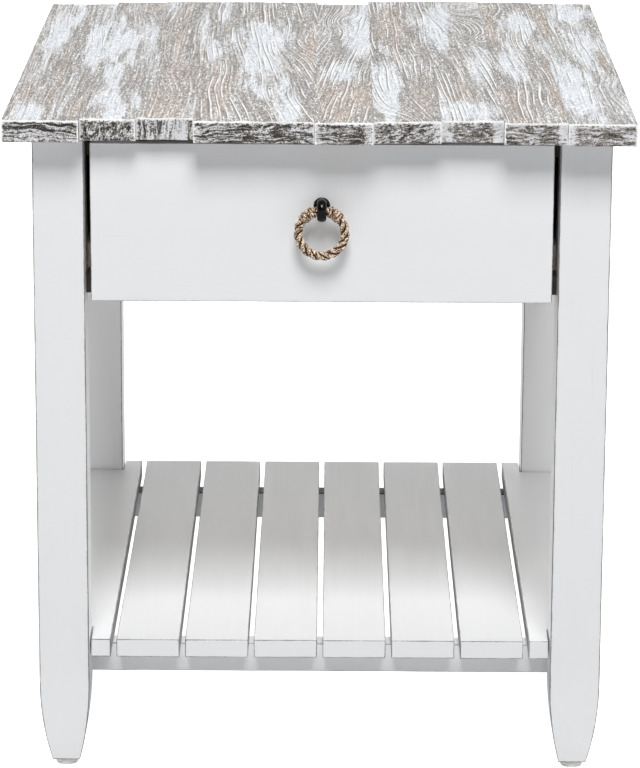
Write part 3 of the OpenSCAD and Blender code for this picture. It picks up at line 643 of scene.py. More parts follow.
def paint_material(name, along, settings, more_wear=0.0, tone=1.0, sawn=None, shaded_top=None,
                   painted_light_below=None):
    """White paint brushed along one axis (0, 1 or 2) and rubbed through to brown wood at the
    arrises. more_wear adds to the settings' wear. tone lightens the paint as painted light or
    darkens it as painted shade, except on faces nearer the front than sawn. The face at the height
    shaded_top is painted near black as painted shade. Under the height painted_light_below the
    paint grows evenly paler as painted light."""
    material, shader, place = new_material(name)
    tree = place.tree
    scale = [260.0, 260.0, 260.0]
    scale[along] = 9.0
    brush = use_group(tree, "Brushed paint", {"Place": stretched(place, scale)})
    wear = use_group(tree, "Arris wear", {"Near": attribute(tree, "near_arris"), "Place": place,
                                          "Amount": settings.wear + more_wear})
    # tone scales the paint: painted light above 1, painted shade below 1
    light_and_shade_paint = [tone * value for value in settings.paint]
    colour = blend_colour(remap(brush["Tone"], 0.3, 0.7) * 0.35, light_and_shade_paint, [0.95 * value for value in light_and_shade_paint])
    colour = blend_colour(remap(brush["Marks"], 0.62, 0.8) * 0.22, colour, settings.glaze)
    # painted light: under the given height the paint grows evenly paler towards the floor
    if painted_light_below:
        foot_light_paint = [min(FOOT_PAINTED_LIGHT * value, 1.0) for value in settings.paint]
        colour = blend_colour(remap(axes(place)[2], painted_light_below, 0.0), colour, foot_light_paint)
    # faces nearer the front than the given line keep the plain paint, without the painted light or shade of
    # tone
    if sawn:
        ahead = remap(axes(place)[1], sawn, sawn + 0.6 * MM, 1.0, 0.0)
        colour = blend_colour(ahead, colour, settings.paint)
    colour = blend_colour(wear["Soft"] * 0.3, colour, settings.glaze)
    colour = blend_colour(wear["Worn"] * 0.9, colour, settings.bare)
    # painted shade: the rail's upper face, seen in the gaps between the slats, is painted near black
    if shaded_top:
        upper = remap(axes(place)[2], shaded_top - 1.2 * MM, shaded_top - 0.6 * MM)
        painted_shade = blend_colour(brush["Marks"], (0.012, 0.010, 0.009), (0.030, 0.025, 0.022))
        colour = blend_colour(upper, colour, painted_shade)
    roughness = remap(brush["Marks"], 0.3, 0.7, 0.5, 0.42)
    finish(shader, colour, roughness, brush["Marks"] - wear["Worn"] * 1.2, 0.12, 0.4 * MM)
    return material


def cut_notches(lines, low, high, notches, clear):
    """Puts the sides of the notches among a block's grid lines, drops lines within the clear
    distance of them, and returns the lines and which cells are left."""
    for axis in (0, 1):
        for notch in notches:
            sides = [corner[axis] for corner in notch if low[axis] < corner[axis] < high[axis]]
            for side in sides:
                lines[axis] = lines[axis][np.abs(lines[axis] - side) > clear]
            lines[axis] = np.sort(np.append(lines[axis], sides))
    middles = [(line[1:] + line[:-1]) / 2 for line in lines]
    x, y, _ = np.meshgrid(*middles, indexing="ij")
    filled = np.ones(x.shape, bool)
    for notch_low, notch_high in notches:
        in_x = (x > notch_low[0]) & (x < notch_high[0])
        in_y = (y > notch_low[1]) & (y < notch_high[1])
        filled &= ~(in_x & in_y)
    return lines, filled


def painted_block(name, node, body, material, settings, cell, seed, shape=None, notches=()):
    """A planed and painted block: gridded in cells of about the given size in millimetres, rounded
    at its arrises with a slightly uneven radius, and bowed by a tenth of a millimetre. notches are
    boxes cut right through it, and shape may reshape its points."""
    low, high = corners(node)
    radius = settings.rounding
    rim = np.append(ARRIS_LINES, 2.4) * radius
    lines = [cuts(low[k], high[k], cell[k] * MM, rim) for k in range(3)]
    filled = None
    if notches:
        lines, filled = cut_notches(lines, low, high, notches, 0.4 * radius)
    points, quads = cell_skin(*lines, filled)
    near = arris_nearness(points, low, high, rim[-1])
    uneven = radius * np.clip(1 + 0.3 * ripple(points, 0.05, seed), 0.6, 1.6)
    shaped = rounded(points, low, high, uneven)
    shaped += 0.06 * MM * np.stack([ripple(points, 0.16, seed + k) for k in (1, 2, 3)], axis=1)
    if shape:
        shaped = shape(shaped, low, high)
    add_piece(name, shaped, [quads], material, body, node, {"near_arris": near})


def foot_taper(taper_height, foot_width):
    """Returns a function that draws a leg in towards its foot: over the taper the half width
    follows a circular arc that starts tangent to the leg's side and ends at the foot's width."""
    def shape(points, low, high):
        middle = (low + high) / 2
        half = (high[0] - low[0]) / 2
        inset = half - foot_width / 2
        arc = (taper_height ** 2 + inset ** 2) / (2 * inset)
        drop = np.clip(low[2] + taper_height - points[:, 2], 0, taper_height)
        share = (half - arc + np.sqrt(arc ** 2 - drop ** 2)) / half
        points[:, :2] = middle[:2] + (points[:, :2] - middle[:2]) * share[:, None]
        return points
    return shape


# ---------------------------------------------------------------- rope ring pull


ROPE_TO_STRAND = 2.12  # diameter of the rope, in diameters of one of its three strands
WHIP_STEPS = 36  # sections in a turn of twine
WHIP_SIDES = 10  # sides of the twine
ROPE_FIELDS = ("yarn", "side", "edge", "lay", "valley")  # attributes of rope and twine


def wound_line(angle, centre, radius, reach, turn):
    """Helix round a ring that lies in the plane of X and Z, with angle 0 at the top. Each point is
    the ring's point moved by reach, away from the ring's centre at turn 0 and to the rear at a
    quarter turn. Returns the points and the directions in which they were moved."""
    out = np.stack([np.sin(angle), np.zeros_like(angle), np.cos(angle)], axis=-1)
    back = np.array([0.0, 1.0, 0.0])
    side = np.cos(turn)[:, None] * out + np.sin(turn)[:, None] * back
    return centre + radius * out + reach * side, side


def swept(line, forward, side, sides, thick):
    """Round section carried along a line. forward is along the line, and side, made square to it,
    is where the section starts. thick is its radius, one row for each point of the line."""
    forward = forward / np.linalg.norm(forward, axis=1, keepdims=True)
    side = side - (side * forward).sum(axis=1, keepdims=True) * forward
    side = (side / np.linalg.norm(side, axis=1, keepdims=True))[:, None]
    other = np.cross(forward, side[:, 0])[:, None]
    v = circle(sides)[:, None]
    return (line[:, None] + thick[:, :, None] * (np.cos(v) * side + np.sin(v) * other)).reshape(-1, 3)


def laid_strand(settings, centre, radius, phase, seed):
    """One strand of right-laid rope closed into a ring: a round section carried along a helix that
    turns round the ring's middle line, with its own yarns as shallow ridges. Returns its points,
    its quads, the yarns' attributes and the length along the ring in millimetres."""
    steps, sides = settings.rope_steps, settings.strand_sides
    u, v = circle(steps), circle(sides)
    strand = settings.rope_diameter / 2 / ROPE_TO_STRAND
    line, side = wound_line(u, centre, radius, settings.rope_diameter / 2 - strand,
                            phase - settings.lay_turns * u)
    roll = v[None, :] + settings.yarn_turns * u[:, None]
    around, along = np.meshgrid(v, u)
    place = np.stack([np.cos(along), np.cos(around), np.sin(along)], axis=-1).reshape(-1, 3)
    fuzz = ripple(place * 3, 0.6, seed).reshape(steps, sides)
    thick = strand * (1 + 0.05 * np.cos(settings.yarns * roll) + 0.03 * fuzz)
    forward = np.roll(line, -1, axis=0) - np.roll(line, 1, axis=0)
    points = swept(line, forward, side, sides, thick)
    quads = face_grid(steps, sides, wrap_rows=True)[:, ::-1]
    twist = np.stack([np.cos(settings.yarns * roll), np.cos(roll), np.sin(roll)], axis=-1)
    return points, quads, twist.reshape(-1, 3), np.repeat(u * radius / MM, sides)


def whipping(settings, centre, radius, start, end, seed):
    """Twine wound round the rope between two angles of the ring: a round section carried along a
    helix round the ring's middle line, with both ends tapered to a tucked tail. Returns its
    points, its faces, the twine's attributes and the length along it in millimetres."""
    turns = settings.whip_turns
    steps, sides = turns * WHIP_STEPS, WHIP_SIDES
    t = np.linspace(0, 1, steps)
    twine = abs(end - start) * radius / turns / 2 * 1.04

    def wander(waves, scale, own_seed):
        """Noise along the twine."""
        return ripple(np.outer(t * waves, [1, 0, 0]), scale, own_seed)

    angle = start + (end - start) * t
    angle += (end - start) / turns * 0.12 * wander(7, 0.8, int(seed * 10))
    turn = 2 * np.pi * turns * t + seed
    reach = settings.rope_diameter / 2 - 0.1 * twine
    line, side = wound_line(angle, centre, radius, reach, turn)
    tail = np.clip(np.minimum(t, 1 - t) * turns * 5, 0.05, 1) ** 0.5
    thick = twine * tail * (1 + 0.10 * wander(9, 0.7, int(seed * 10) + 3))
    points = swept(line, np.gradient(line, axis=0), side, sides, thick[:, None])
    points = np.vstack([points, line[0], line[-1]])
    faces = [part[:, ::-1] for part in (face_grid(steps, sides), *end_fans(steps, sides))]
    v = circle(sides)
    twist = np.tile(np.stack([0 * v, np.cos(v), np.sin(v)], axis=1), (steps, 1))
    twist = np.vstack([twist, np.zeros((2, 3))])
    length = np.append(np.repeat(turn * reach / MM, sides), [0, 0])
    return points, faces, twist, length


def rope_fields(points, centre, radius, twist, lay, valley):
    """Attributes of rope or twine. valley is a function of the distance from the ring's middle
    line, and is 1 deep in a groove and 0 on the outside."""
    out = points - centre
    from_line = np.hypot(np.hypot(out[:, 0], out[:, 2]) - radius, out[:, 1])
    return dict(zip(ROPE_FIELDS, (*twist.T, lay, valley(from_line))))


def rope_material(name, settings, contrast=1.0):
    """Jute: tan fibres that run along the strand, with painted shade in the grooves between strands
    and turns. contrast is the contrast between the fibres."""
    material, shader, place = new_material(name)
    yarn, side, edge, lay, valley = (attribute(place.tree, field) for field in ROPE_FIELDS)
    fibre = noise(combine(lay * 0.35, side * 2.6, edge * 2.6), 3.0, 0.7)
    hair = noise(stretched(place, 900.0), 2.0, 0.7)
    clump = noise(stretched(place, 380.0), 2.0, 0.6)
    tone = weighted((fibre, 6.0 * contrast), (hair, 5.0 * contrast), (clump, 2.6 * contrast),
                    (yarn, 0.12))
    colour = blend_colour(remap(tone, 0.21, 0.94), settings.jute_dark, settings.jute_light)
    # painted shade: the grooves between strands, and the twine where it sits down on the rope, are darkened
    # towards jute_deep
    groove = remap(valley + weighted((clump, 0.8), (hair, 0.5)), 0.98, 1.28)
    colour = blend_colour(groove, colour, settings.jute_deep)
    finish(shader, colour, 0.75, fibre + hair * 0.6, 0.6, 0.3 * MM)
    shader.inputs["Specular IOR Level"].default_value = 0.15
    shader.inputs["Sheen Weight"].default_value = 0.10
    shader.inputs["Sheen Roughness"].default_value = 0.4
    return material


# ---------------------------------------------------------------- other finishes


def black_iron_material():
    """Glossy black enamel over iron, with faint orange peel."""
    material, shader, place = new_material("black_enamel")
    dirt = noise(stretched(place, 300.0), 3.0, 0.6)
    peel = noise(stretched(place, 700.0), 2.0, 0.5)
    colour = blend_colour(remap(dirt, 0.4, 0.7), (0.002, 0.002, 0.002), (0.006, 0.005, 0.006))
    finish(shader, colour, remap(dirt, 0.3, 0.7, 0.12, 0.20), peel, 0.08, 0.4 * MM)
    shader.inputs["Specular IOR Level"].default_value = 0.22
    return material


def nylon_material():
    """Pale grey moulded nylon with a fine grain, darker in patches in its lowest 3 mm."""
    material, shader, place = new_material("pale_nylon")
    scuff = noise(stretched(place, 600.0), 3.0, 0.6)
    # darker in patches within 3 mm of the floor
    darker_near_floor = remap(axes(place)[2], 3 * MM, 0.0) * remap(scuff, 0.4, 0.6)
    colour = blend_colour(darker_near_floor * 0.5, (0.87, 0.87, 0.86), (0.50, 0.49, 0.47))
    finish(shader, colour, remap(scuff, 0.3, 0.7, 0.42, 0.55), scuff, 0.1, 0.3 * MM)
    return material


def bare_wood_material(name, along, dark, light):
    """Planed wood with grain along one axis (0, 1 or 2), for the parts inside the case."""
    material, shader, place = new_material(name)
    ring_scale, pore_scale = [120.0] * 3, [1080.0] * 3
    ring_scale[along], pore_scale[along] = 5.0, 162.0
    rings = noise(stretched(place, ring_scale), 3.0, 0.5, 0.6, 0.55)
    lines = remap(calc("SINE", rings * 46.0), 0.1, 1.0)
    pores = noise(stretched(place, pore_scale), 2.0, 0.5)
    colour = blend_colour(lines * 0.6, light, dark)
    colour = blend_colour(remap(pores, 0.6, 0.75) * 0.35, colour, [0.6 * value for value in dark])
    finish(shader, colour, remap(lines, 0.0, 1.0, 0.6, 0.5), lines + pores, 0.15, 0.3 * MM)
    return material


def zinc_material():
    """Zinc-plated steel with a finely mottled tone."""
    material, shader, place = new_material("zinc_plate")
    spots = noise(stretched(place, 900.0), 3.0, 0.6)
    colour = blend_colour(remap(spots, 0.35, 0.65), (0.44, 0.45, 0.47), (0.62, 0.63, 0.65))
    finish(shader, colour, remap(spots, 0.3, 0.7, 0.28, 0.42), spots, 0.1, 0.2 * MM)
    shader.inputs["Metallic"].default_value = 1.0
    return material


# ---------------------------------------------------------------- sizes and colours


def length_property(name, description, default, low=0.0):
    """Property for a length in metres."""
    return FloatProperty(name=name, description=description, default=default, min=low, unit="LENGTH")


def share_property(name, description, default):
    """Property for a share from 0 to 1."""
    return FloatProperty(name=name, description=description, default=default, min=0.0, max=1.0,
                         subtype="FACTOR")


def number_property(name, description, default, low=-100.0):
    """Property for a number."""
    return FloatProperty(name=name, description=description, default=default, min=low)


def count_property(name, description, default, low=2):
    """Property for a whole number."""
    return IntProperty(name=name, description=description, default=default, min=low)


def colour_property(name, description, default):
    """Property for a colour."""
    return FloatVectorProperty(name=name, description=description, default=default, min=0.0, max=1.0,
                               subtype="COLOR")


class TableTopSettings(bpy.types.PropertyGroup):
    """Sizes and colours of the driftwood top."""

    rounding: length_property("Rounding", "Radius of the boards' worn ends", 0.9 * MM, 0.3 * MM)
    cell_across: length_property("Cell across", "Mesh cell across the grain", 2.0 * MM, 0.5 * MM)
    cell_along: length_property("Cell along", "Mesh cell along the grain", 5.0 * MM, 1 * MM)
    cell_up: length_property("Cell up", "Mesh cell through the board's thickness", 2.4 * MM, 0.5 * MM)
    relief: length_property("Relief", "Depth of the wire-brushed grain", 0.25 * MM)
    end_wear: length_property("End wear", "Depth of the uneven sawn ends", 0.9 * MM)
    line_depth: share_property("Line depth", "Darkness of the growth lines", 0.75)
    pore_depth: share_property("Pore depth", "Darkness of the fine pores", 0.85)
    speck_depth: share_property("Speck depth", "Whiteness of the fine raised fibres", 0.95)
    wash_limit: number_property("Wash limit", "Level at which the white wash starts to cover", 0.335)
    wash_softness: number_property("Wash softness", "Change in level from bare to covered", 1.0, 0.05)
    # The white rim is a painted highlight along the ends' upper and side arrises.
    rim_width: length_property("Rim width", "Width of the white rim round an end", 3.4 * MM, 0.2 * MM)
    rim_limit: number_property("Rim limit", "Level at which the white rim starts to cover", 0.8)
    end_lift: number_property("End lift", "Shift of the sawn ends towards white", 0.0)
    cool_wood: colour_property("Cool wood", "Weathered grey wood", (0.275, 0.257, 0.24))
    tan_wood: colour_property("Tan wood", "Bare tan wood", (0.37, 0.30, 0.247))
    pore: colour_property("Pores", "Dark pores between the fibres", (0.09, 0.085, 0.08))
    line_colour: colour_property("Lines", "Dark growth lines", (0.15, 0.14, 0.13))
    wash_colour: colour_property("Wash", "White wash", (0.655, 0.685, 0.73))
    # Rim is also the white of the painted highlight along the board ends' arrises.
    rim_colour: colour_property("Rim", "White of the worn arrises and raised fibres", (0.90, 0.90, 0.895))
    end_dark: colour_property("End dark", "Darkest tone of the sawn ends", (0.020, 0.018, 0.016))
    end_middle: colour_property("End middle", "Middle tone of the sawn ends", (0.20, 0.175, 0.15))
    end_light: colour_property("End light", "White left on the sawn ends", (0.72, 0.73, 0.76))


class TablePaintSettings(bpy.types.PropertyGroup):
    """Sizes and colours of the white painted base."""

    rounding: length_property("Rounding", "Radius of the painted arrises", 0.8 * MM, 0.3 * MM)
    taper_height: length_property("Taper height", "Height of a leg's curved taper", 80 * MM, 10 * MM)
    foot_width: length_property("Foot width", "Width of a leg at its foot", 25 * MM, 10 * MM)
    notch_gap: length_property("Notch gap", "Gap round a leg in an outer slat", 1.5 * MM)
    wear: number_property("Wear", "Reach of the rubbed arrises", 0.62, 0.0)
    paint: colour_property("Paint", "White paint", (0.79, 0.80, 0.815))
    glaze: colour_property("Glaze", "Grey glaze left in the brush marks", (0.60, 0.60, 0.59))
    bare: colour_property("Bare", "Wood where the paint is rubbed through", (0.14, 0.12, 0.105))


class TablePullSettings(bpy.types.PropertyGroup):
    """Sizes and colours of the rope ring pull."""

    rope_diameter: length_property("Rope", "Diameter of the rope", 8.4 * MM, 1 * MM)
    lay_turns: count_property("Lay", "Turns of each strand round the ring", 5, 3)
    rope_steps: count_property("Steps", "Sections of a strand round the ring", 288, 48)
    strand_sides: count_property("Sides", "Sides of a strand", 22, 8)
    yarns: count_property("Yarns", "Yarns in a strand", 5)
    yarn_turns: count_property("Yarn turns", "Turns of the yarns against the lay", -8, -50)
    whip_length: length_property("Whipping", "Length of a whipping along the rope", 12 * MM, 2 * MM)
    whip_turns: count_property("Whipping turns", "Turns of twine in a whipping", 4)
    eye_width: length_property("Eye width", "Width of the eye across the drawer front", 8.4 * MM, 2 * MM)
    eye_hole: length_property("Eye hole", "Radius of the eye's hole", 5.1 * MM, 1 * MM)
    neck: length_property("Neck", "Radius of the eye's shank", 3.4 * MM, 1 * MM)
    bolt: length_property("Bolt", "Radius of the bolt behind the plate", 3 * MM, 1 * MM)
    plate_rise: length_property("Plate rise", "Height of the plate's middle above the eye's", 1.6 * MM)
    jute_dark: colour_property("Jute dark", "Dark fibres", (0.11, 0.040, 0.013))
    jute_light: colour_property("Jute light", "Light fibres", (1.0, 0.84, 0.64))
    jute_deep: colour_property("Jute deep", "Shaded grooves between the strands", (0.022, 0.009, 0.004))


class TableStageSettings(bpy.types.PropertyGroup):
    """Floor, lights and camera."""

    floor_size: length_property("Floor", "Width of the floor", 30.0)
    floor_colour: colour_property("Floor colour", "Pale floor", (0.46, 0.46, 0.46))
    floor_glow: number_property("Floor glow", "Light that the floor gives off", 0.12, 0.0)
    floor_lift: number_property("Floor lift", "Further glow that lights nothing else", 0.95, 0.0)
    fill_front: number_property("Fill front", "Strength of the even light from the front", 0.95)
    fill_rear: number_property("Fill rear", "Strength of the even light from behind", 2.5)
    zenith: share_property("Zenith", "Share of the light from behind that comes from straight above", 0.1)
    key: number_property("Key", "Light of the soft box on the table, in watts per square metre", 2.78)
    key_rise: number_property("Key rise", "Height of the soft box above the floor, in degrees", 56.5)
    key_turn: number_property("Key turn", "Turn of the soft box to the right, in degrees", 3.0)
    key_tall: number_property("Key tall", "Height of the soft box as the table sees it, in degrees", 21.0)
    key_wide: number_property("Key wide", "Width of the soft box as the table sees it, in degrees", 20.0)
    key_distance: length_property("Key distance", "Distance of the soft box", 10.0, 2.0)
    focal: number_property("Focal length", "Focal length on a 36 mm high frame, in millimetres", 176.66)
    camera_place: FloatVectorProperty(name="Camera place", description="Where the camera stands",
                                      default=(0.0105, -3.5907, 1.2480), subtype="XYZ")
    camera_turn: FloatVectorProperty(name="Camera turn",
                                     description="Turn left, pitch down and roll, in degrees",
                                     default=(0.153, 14.940, 0.277))


# ---------------------------------------------------------------- stage


def add_floor(settings):
    """Pale floor, faintly mottled, that glows evenly. Some of its glow only the camera sees."""
    half = settings.floor_size / 2
    mesh = bpy.data.meshes.new("pale_floor")
    mesh.from_pydata([(-half, -half, 0), (half, -half, 0), (half, half, 0), (-half, half, 0)], [],
                     [(0, 1, 2, 3)])
    material, shader, place = new_material("floor_paper")
    mottle = noise(place, 3.0, 0.5, scale=3.0)
    darker = [0.985 * value for value in settings.floor_colour]
    feed(shader.inputs["Base Color"], blend_colour(mottle, settings.floor_colour, darker))
    feed(shader.inputs["Roughness"], 0.9)
    feed(shader.inputs["Emission Color"], (1, 1, 1, 1))
    seen = Field(put(place.tree, "ShaderNodeLightPath").outputs["Is Camera Ray"])
    feed(shader.inputs["Emission Strength"], seen * settings.floor_lift + settings.floor_glow)
    mesh.materials.append(material)
    add_object("pale_floor", mesh)


def fill_world(settings):
    """World of even light. In front it comes from near the horizon only, and behind it falls off
    from the horizon to straight above. Directions are measured from -1 to 1 along each axis."""
    world = bpy.data.worlds.new("studio_fill")
    world.use_nodes = True
    tree = world.node_tree
    _, to_rear, up = axes(Field(put(tree, "ShaderNodeTexCoord").outputs["Generated"]))
    front = remap(up, 0.02, 0.32, settings.fill_front, 0.0)
    rear = remap(up, 0.1, 0.75, settings.fill_rear, settings.fill_rear * settings.zenith)
    behind = remap(to_rear, -0.6, 0.15)
    background = tree.nodes["Background"]
    feed(background.inputs["Color"], (1, 1, 1, 1))
    feed(background.inputs["Strength"], (1.0 - behind) * front + behind * rear)
    return world


def add_key(settings):
    """Soft box that faces the table from above and in front."""
    far = settings.key_distance
    light = bpy.data.lights.new("key_light", "AREA")
    light.shape = "RECTANGLE"
    light.size = 2 * far * math.tan(math.radians(settings.key_wide / 2))
    light.size_y = 2 * far * math.tan(math.radians(settings.key_tall / 2))
    light.energy = settings.key * math.pi * far ** 2
    aim = Matrix.Rotation(math.radians(settings.key_turn), 4, "Z")
    aim @= Matrix.Rotation(math.radians(90 - settings.key_rise), 4, "X")
    add_object("key_light", light).matrix_world = aim @ Matrix.Translation((0, 0, far))


def add_camera(settings):
    """Camera at its place, turned to the left, pitched down and rolled."""
    left, down, roll = (math.radians(angle) for angle in settings.camera_turn)
    forward = Vector((-math.sin(left) * math.cos(down), math.cos(left) * math.cos(down), -math.sin(down)))
    right = Vector((math.cos(left), math.sin(left), 0))
    up = right.cross(forward)
    tilted = right * math.cos(roll) + up * math.sin(roll)
    upright = up * math.cos(roll) - right * math.sin(roll)
    data = bpy.data.cameras.new("camera")
    data.lens = settings.focal
    data.sensor_width = 36
    data.clip_end = 100
    camera = add_object("camera", data)
    turn = Matrix((tilted, upright, -forward)).transposed()
    camera.matrix_world = Matrix.Translation(settings.camera_place) @ turn.to_4x4()
    return camera


# ---------------------------------------------------------------- operators


class SIDETABLE_OT_stage(bpy.types.Operator):
    """Sets the pale floor, the soft studio lights and the camera"""

    bl_idname = "side_table.stage"
    bl_label = "Stage"

    def execute(self, context):
        settings = context.scene.table_stage
        add_floor(settings)
        add_key(settings)
        context.scene.world = fill_world(settings)
        context.scene.camera = add_camera(settings)
        context.scene.view_settings.view_transform = "Standard"
        context.scene.view_settings.look = "None"
        return {"FINISHED"}


class SIDETABLE_OT_top_boards(bpy.types.Operator):
    """Builds the nine driftwood boards of the top"""

    bl_idname = "side_table.top_boards"
    bl_label = "Top boards"

    def execute(self, context):
        settings = context.scene.table_top
        for index in range(BOARD_COUNT):
            points, quads, fields = board_mesh(index, settings)
            material = driftwood_material(index, settings)
            add_piece(f"driftwood_board_{index + 1}", points, [quads], material, TABLE,
                      f"top_board_{index + 1}", fields)
        return {"FINISHED"}


class SIDETABLE_OT_legs(bpy.types.Operator):
    """Builds the four legs with their curved feet"""

    bl_idname = "side_table.legs"
    bl_label = "Legs"

    def execute(self, context):
        settings = context.scene.table_paint
        # The front legs' paint grows paler towards the foot: painted light near the floor.
        front = paint_material("white_paint_upright_lit_feet", 2, settings, more_wear=0.2,
                               painted_light_below=1.4 * settings.taper_height)
        # painted light: the rear legs' paint is lightened by tone, standing in for light on their shaded
        # faces
        rear = paint_material("white_paint_rear_upright_painted_light", 2, settings, more_wear=0.15, tone=1.16)
        shape = foot_taper(settings.taper_height, settings.foot_width)
        for k, name in enumerate(LEG_NAMES):
            painted_block(f"painted_{name}", name, TABLE, rear if "rear" in name else front, settings,
                          cell=(11.5, 11.5, 7.0), seed=11 + 7 * k, shape=shape)
        return {"FINISHED"}


class SIDETABLE_OT_panels(bpy.types.Operator):
    """Builds the side and rear panels of the drawer case"""

    bl_idname = "side_table.panels"
    bl_label = "Case panels"

    def execute(self, context):
        settings = context.scene.table_paint
        lengthwise = {"side_panel_left": 1, "side_panel_right": 1, "rear_panel": 0}
        for k, (name, along) in enumerate(lengthwise.items()):
            material = paint_material(f"white_paint_{name}", along, settings)
            painted_block(f"painted_{name}", name, TABLE, material, settings,
                          cell=(16, 16, 16), seed=51 + 5 * k)
        return {"FINISHED"}


class SIDETABLE_OT_drawer_front(bpy.types.Operator):
    """Builds the painted drawer front"""

    bl_idname = "side_table.drawer_front"
    bl_label = "Drawer front"

    def execute(self, context):
        settings = context.scene.table_paint
        material = paint_material("white_paint_drawer", 0, settings)
        painted_block("painted_drawer_front", "drawer_front", DRAWER, material, settings,
                      cell=(12, 12, 12), seed=71)
        return {"FINISHED"}


class SIDETABLE_OT_shelf(bpy.types.Operator):
    """Builds the slats, rails and stretchers of the shelf"""

    bl_idname = "side_table.shelf"
    bl_label = "Shelf"

    def execute(self, context):
        settings = context.scene.table_paint
        gap = settings.notch_gap
        # painted shade: the slats' paint is darkened by tone, the outer two less because the legs already
        # shade them; the sawn front ends keep the plain paint
        sawn = corners("shelf_slat_1")[0][1] + 0.6 * MM
        inner = paint_material("white_paint_slats_painted_shade", 1, settings, 0.04, tone=0.84, sawn=sawn)
        outer = paint_material("white_paint_outer_slats_painted_shade", 1, settings, 0.04, tone=0.95, sawn=sawn)
        notches = [(low - gap, high + gap) for low, high in map(corners, LEG_NAMES)]
        for k in range(SLAT_COUNT):
            at_side = k in (0, SLAT_COUNT - 1)
            painted_block(f"painted_slat_{k + 1}", f"shelf_slat_{k + 1}", TABLE,
                          outer if at_side else inner, settings, cell=(14, 12, 9), seed=101 + 5 * k,
                          notches=notches if at_side else ())

        # painted light: the front rail's paint is lightened by tone, standing in for light that the slats
        # above keep from it
        rail = paint_material("white_paint_rails_painted_light", 0, settings, tone=1.12)
        stretcher = paint_material("white_paint_stretchers", 1, settings)
        # painted shade: the rear rail's upper face, seen in the gaps between the slats, is painted near
        # black
        rail_with_shaded_top = paint_material("white_paint_rear_rail_shaded_top", 0, settings,
                                 shaded_top=corners("shelf_rail_rear")[1][2])
        finishes = {"shelf_rail_front": rail, "shelf_rail_rear": rail_with_shaded_top,
                    "shelf_stretcher_left": stretcher, "shelf_stretcher_right": stretcher}
        for k, (name, material) in enumerate(finishes.items()):
            painted_block(f"painted_{name}", name, TABLE, material, settings, cell=(14, 14, 12),
                          seed=151 + 5 * k)
        return {"FINISHED"}


class SIDETABLE_OT_glides(bpy.types.Operator):
    """Builds the round glides under the legs"""

    bl_idname = "side_table.glides"
    bl_label = "Glides"

    def execute(self, context):
        material = nylon_material()
        low, high = corners("foot_glides")
        bend = np.linspace(0, np.pi / 2, 7)
        for k, name in enumerate(LEG_NAMES):
            leg_low, leg_high = corners(name)
            x, y = ((leg_low + leg_high) / 2)[:2]
            radius = min(x - low[0], high[0] - x)
            height = leg_low[2]
            roll = height / 7
            arc = np.stack([radius - roll + roll * np.sin(bend), roll - roll * np.cos(bend)], axis=1)
            profile = [(0, 0), (radius - 2.4 * roll, 0), *arc, (radius, height - 0.6 * MM),
                       (radius - 0.5 * MM, height), (0, height)]
            points, faces = turned(profile, 48, (x, y, 0), (0, 0, 1))
            add_piece(f"glide_{k + 1}", points, faces, material, TABLE, "foot_glides")
        return {"FINISHED"}


class SIDETABLE_OT_pull_eye(bpy.types.Operator):
    """Builds the black eye and its round plate"""

    bl_idname = "side_table.pull_eye"
    bl_label = "Pull eye"

    def execute(self, context):
        settings = context.scene.table_pull
        material = black_iron_material()
        low, high = corners("eye_bolt")
        plate_low, plate_high = corners("eye_plate")
        outer = (high[2] - low[2]) / 2
        band = outer - settings.eye_hole
        centre = (low + high) / 2
        centre[1] = low[1] + outer

        ring, cross = circle(72)[:, None], circle(28)
        reach = settings.eye_hole + band / 2 * (1 + np.sin(cross))
        grid = np.broadcast_arrays(settings.eye_width / 2 * np.cos(cross), -np.cos(ring) * reach,
                                   np.sin(ring) * reach)
        points = np.stack(grid, axis=-1).reshape(-1, 3) + centre
        quads = face_grid(len(ring), len(cross), wrap_rows=True)
        add_piece("eye_loop", points, [quads], material, DRAWER, "eye_bolt")

        neck, bolt = settings.neck, settings.bolt
        start = centre[1] + settings.eye_hole + 0.5 * band
        at_plate, end = plate_high[1] - start, high[1] - start
        shank = [(0, 0), (neck + 0.9 * MM, 0.6 * MM), (neck + 0.3 * MM, 2.2 * MM),
                 (neck, at_plate - 1 * MM), (bolt, at_plate), (bolt, end - 0.8 * MM),
                 (bolt - 0.6 * MM, end), (0, end)]
        points, faces = turned(shank, 32, (centre[0], start, centre[2]), (0, 1, 0))
        add_piece("eye_shank", points, faces, material, DRAWER, "eye_bolt")

        radius = (plate_high[0] - plate_low[0]) / 2
        thick = plate_high[1] - plate_low[1]
        dome = [(0, 0), (radius - 0.2 * MM, 0), (radius, 0.4 * MM), (radius - 0.3 * MM, 0.6 * thick),
                (radius - 1.2 * MM, 0.9 * thick), (0.6 * radius, thick), (neck + 0.8 * MM, thick),
                (0, thick)]
        middle = (centre[0], plate_high[1], centre[2] + settings.plate_rise)
        points, faces = turned(dome, 64, middle, (0, -1, 0))
        add_piece("eye_base_plate", points, faces, material, DRAWER, "eye_plate")
        return {"FINISHED"}


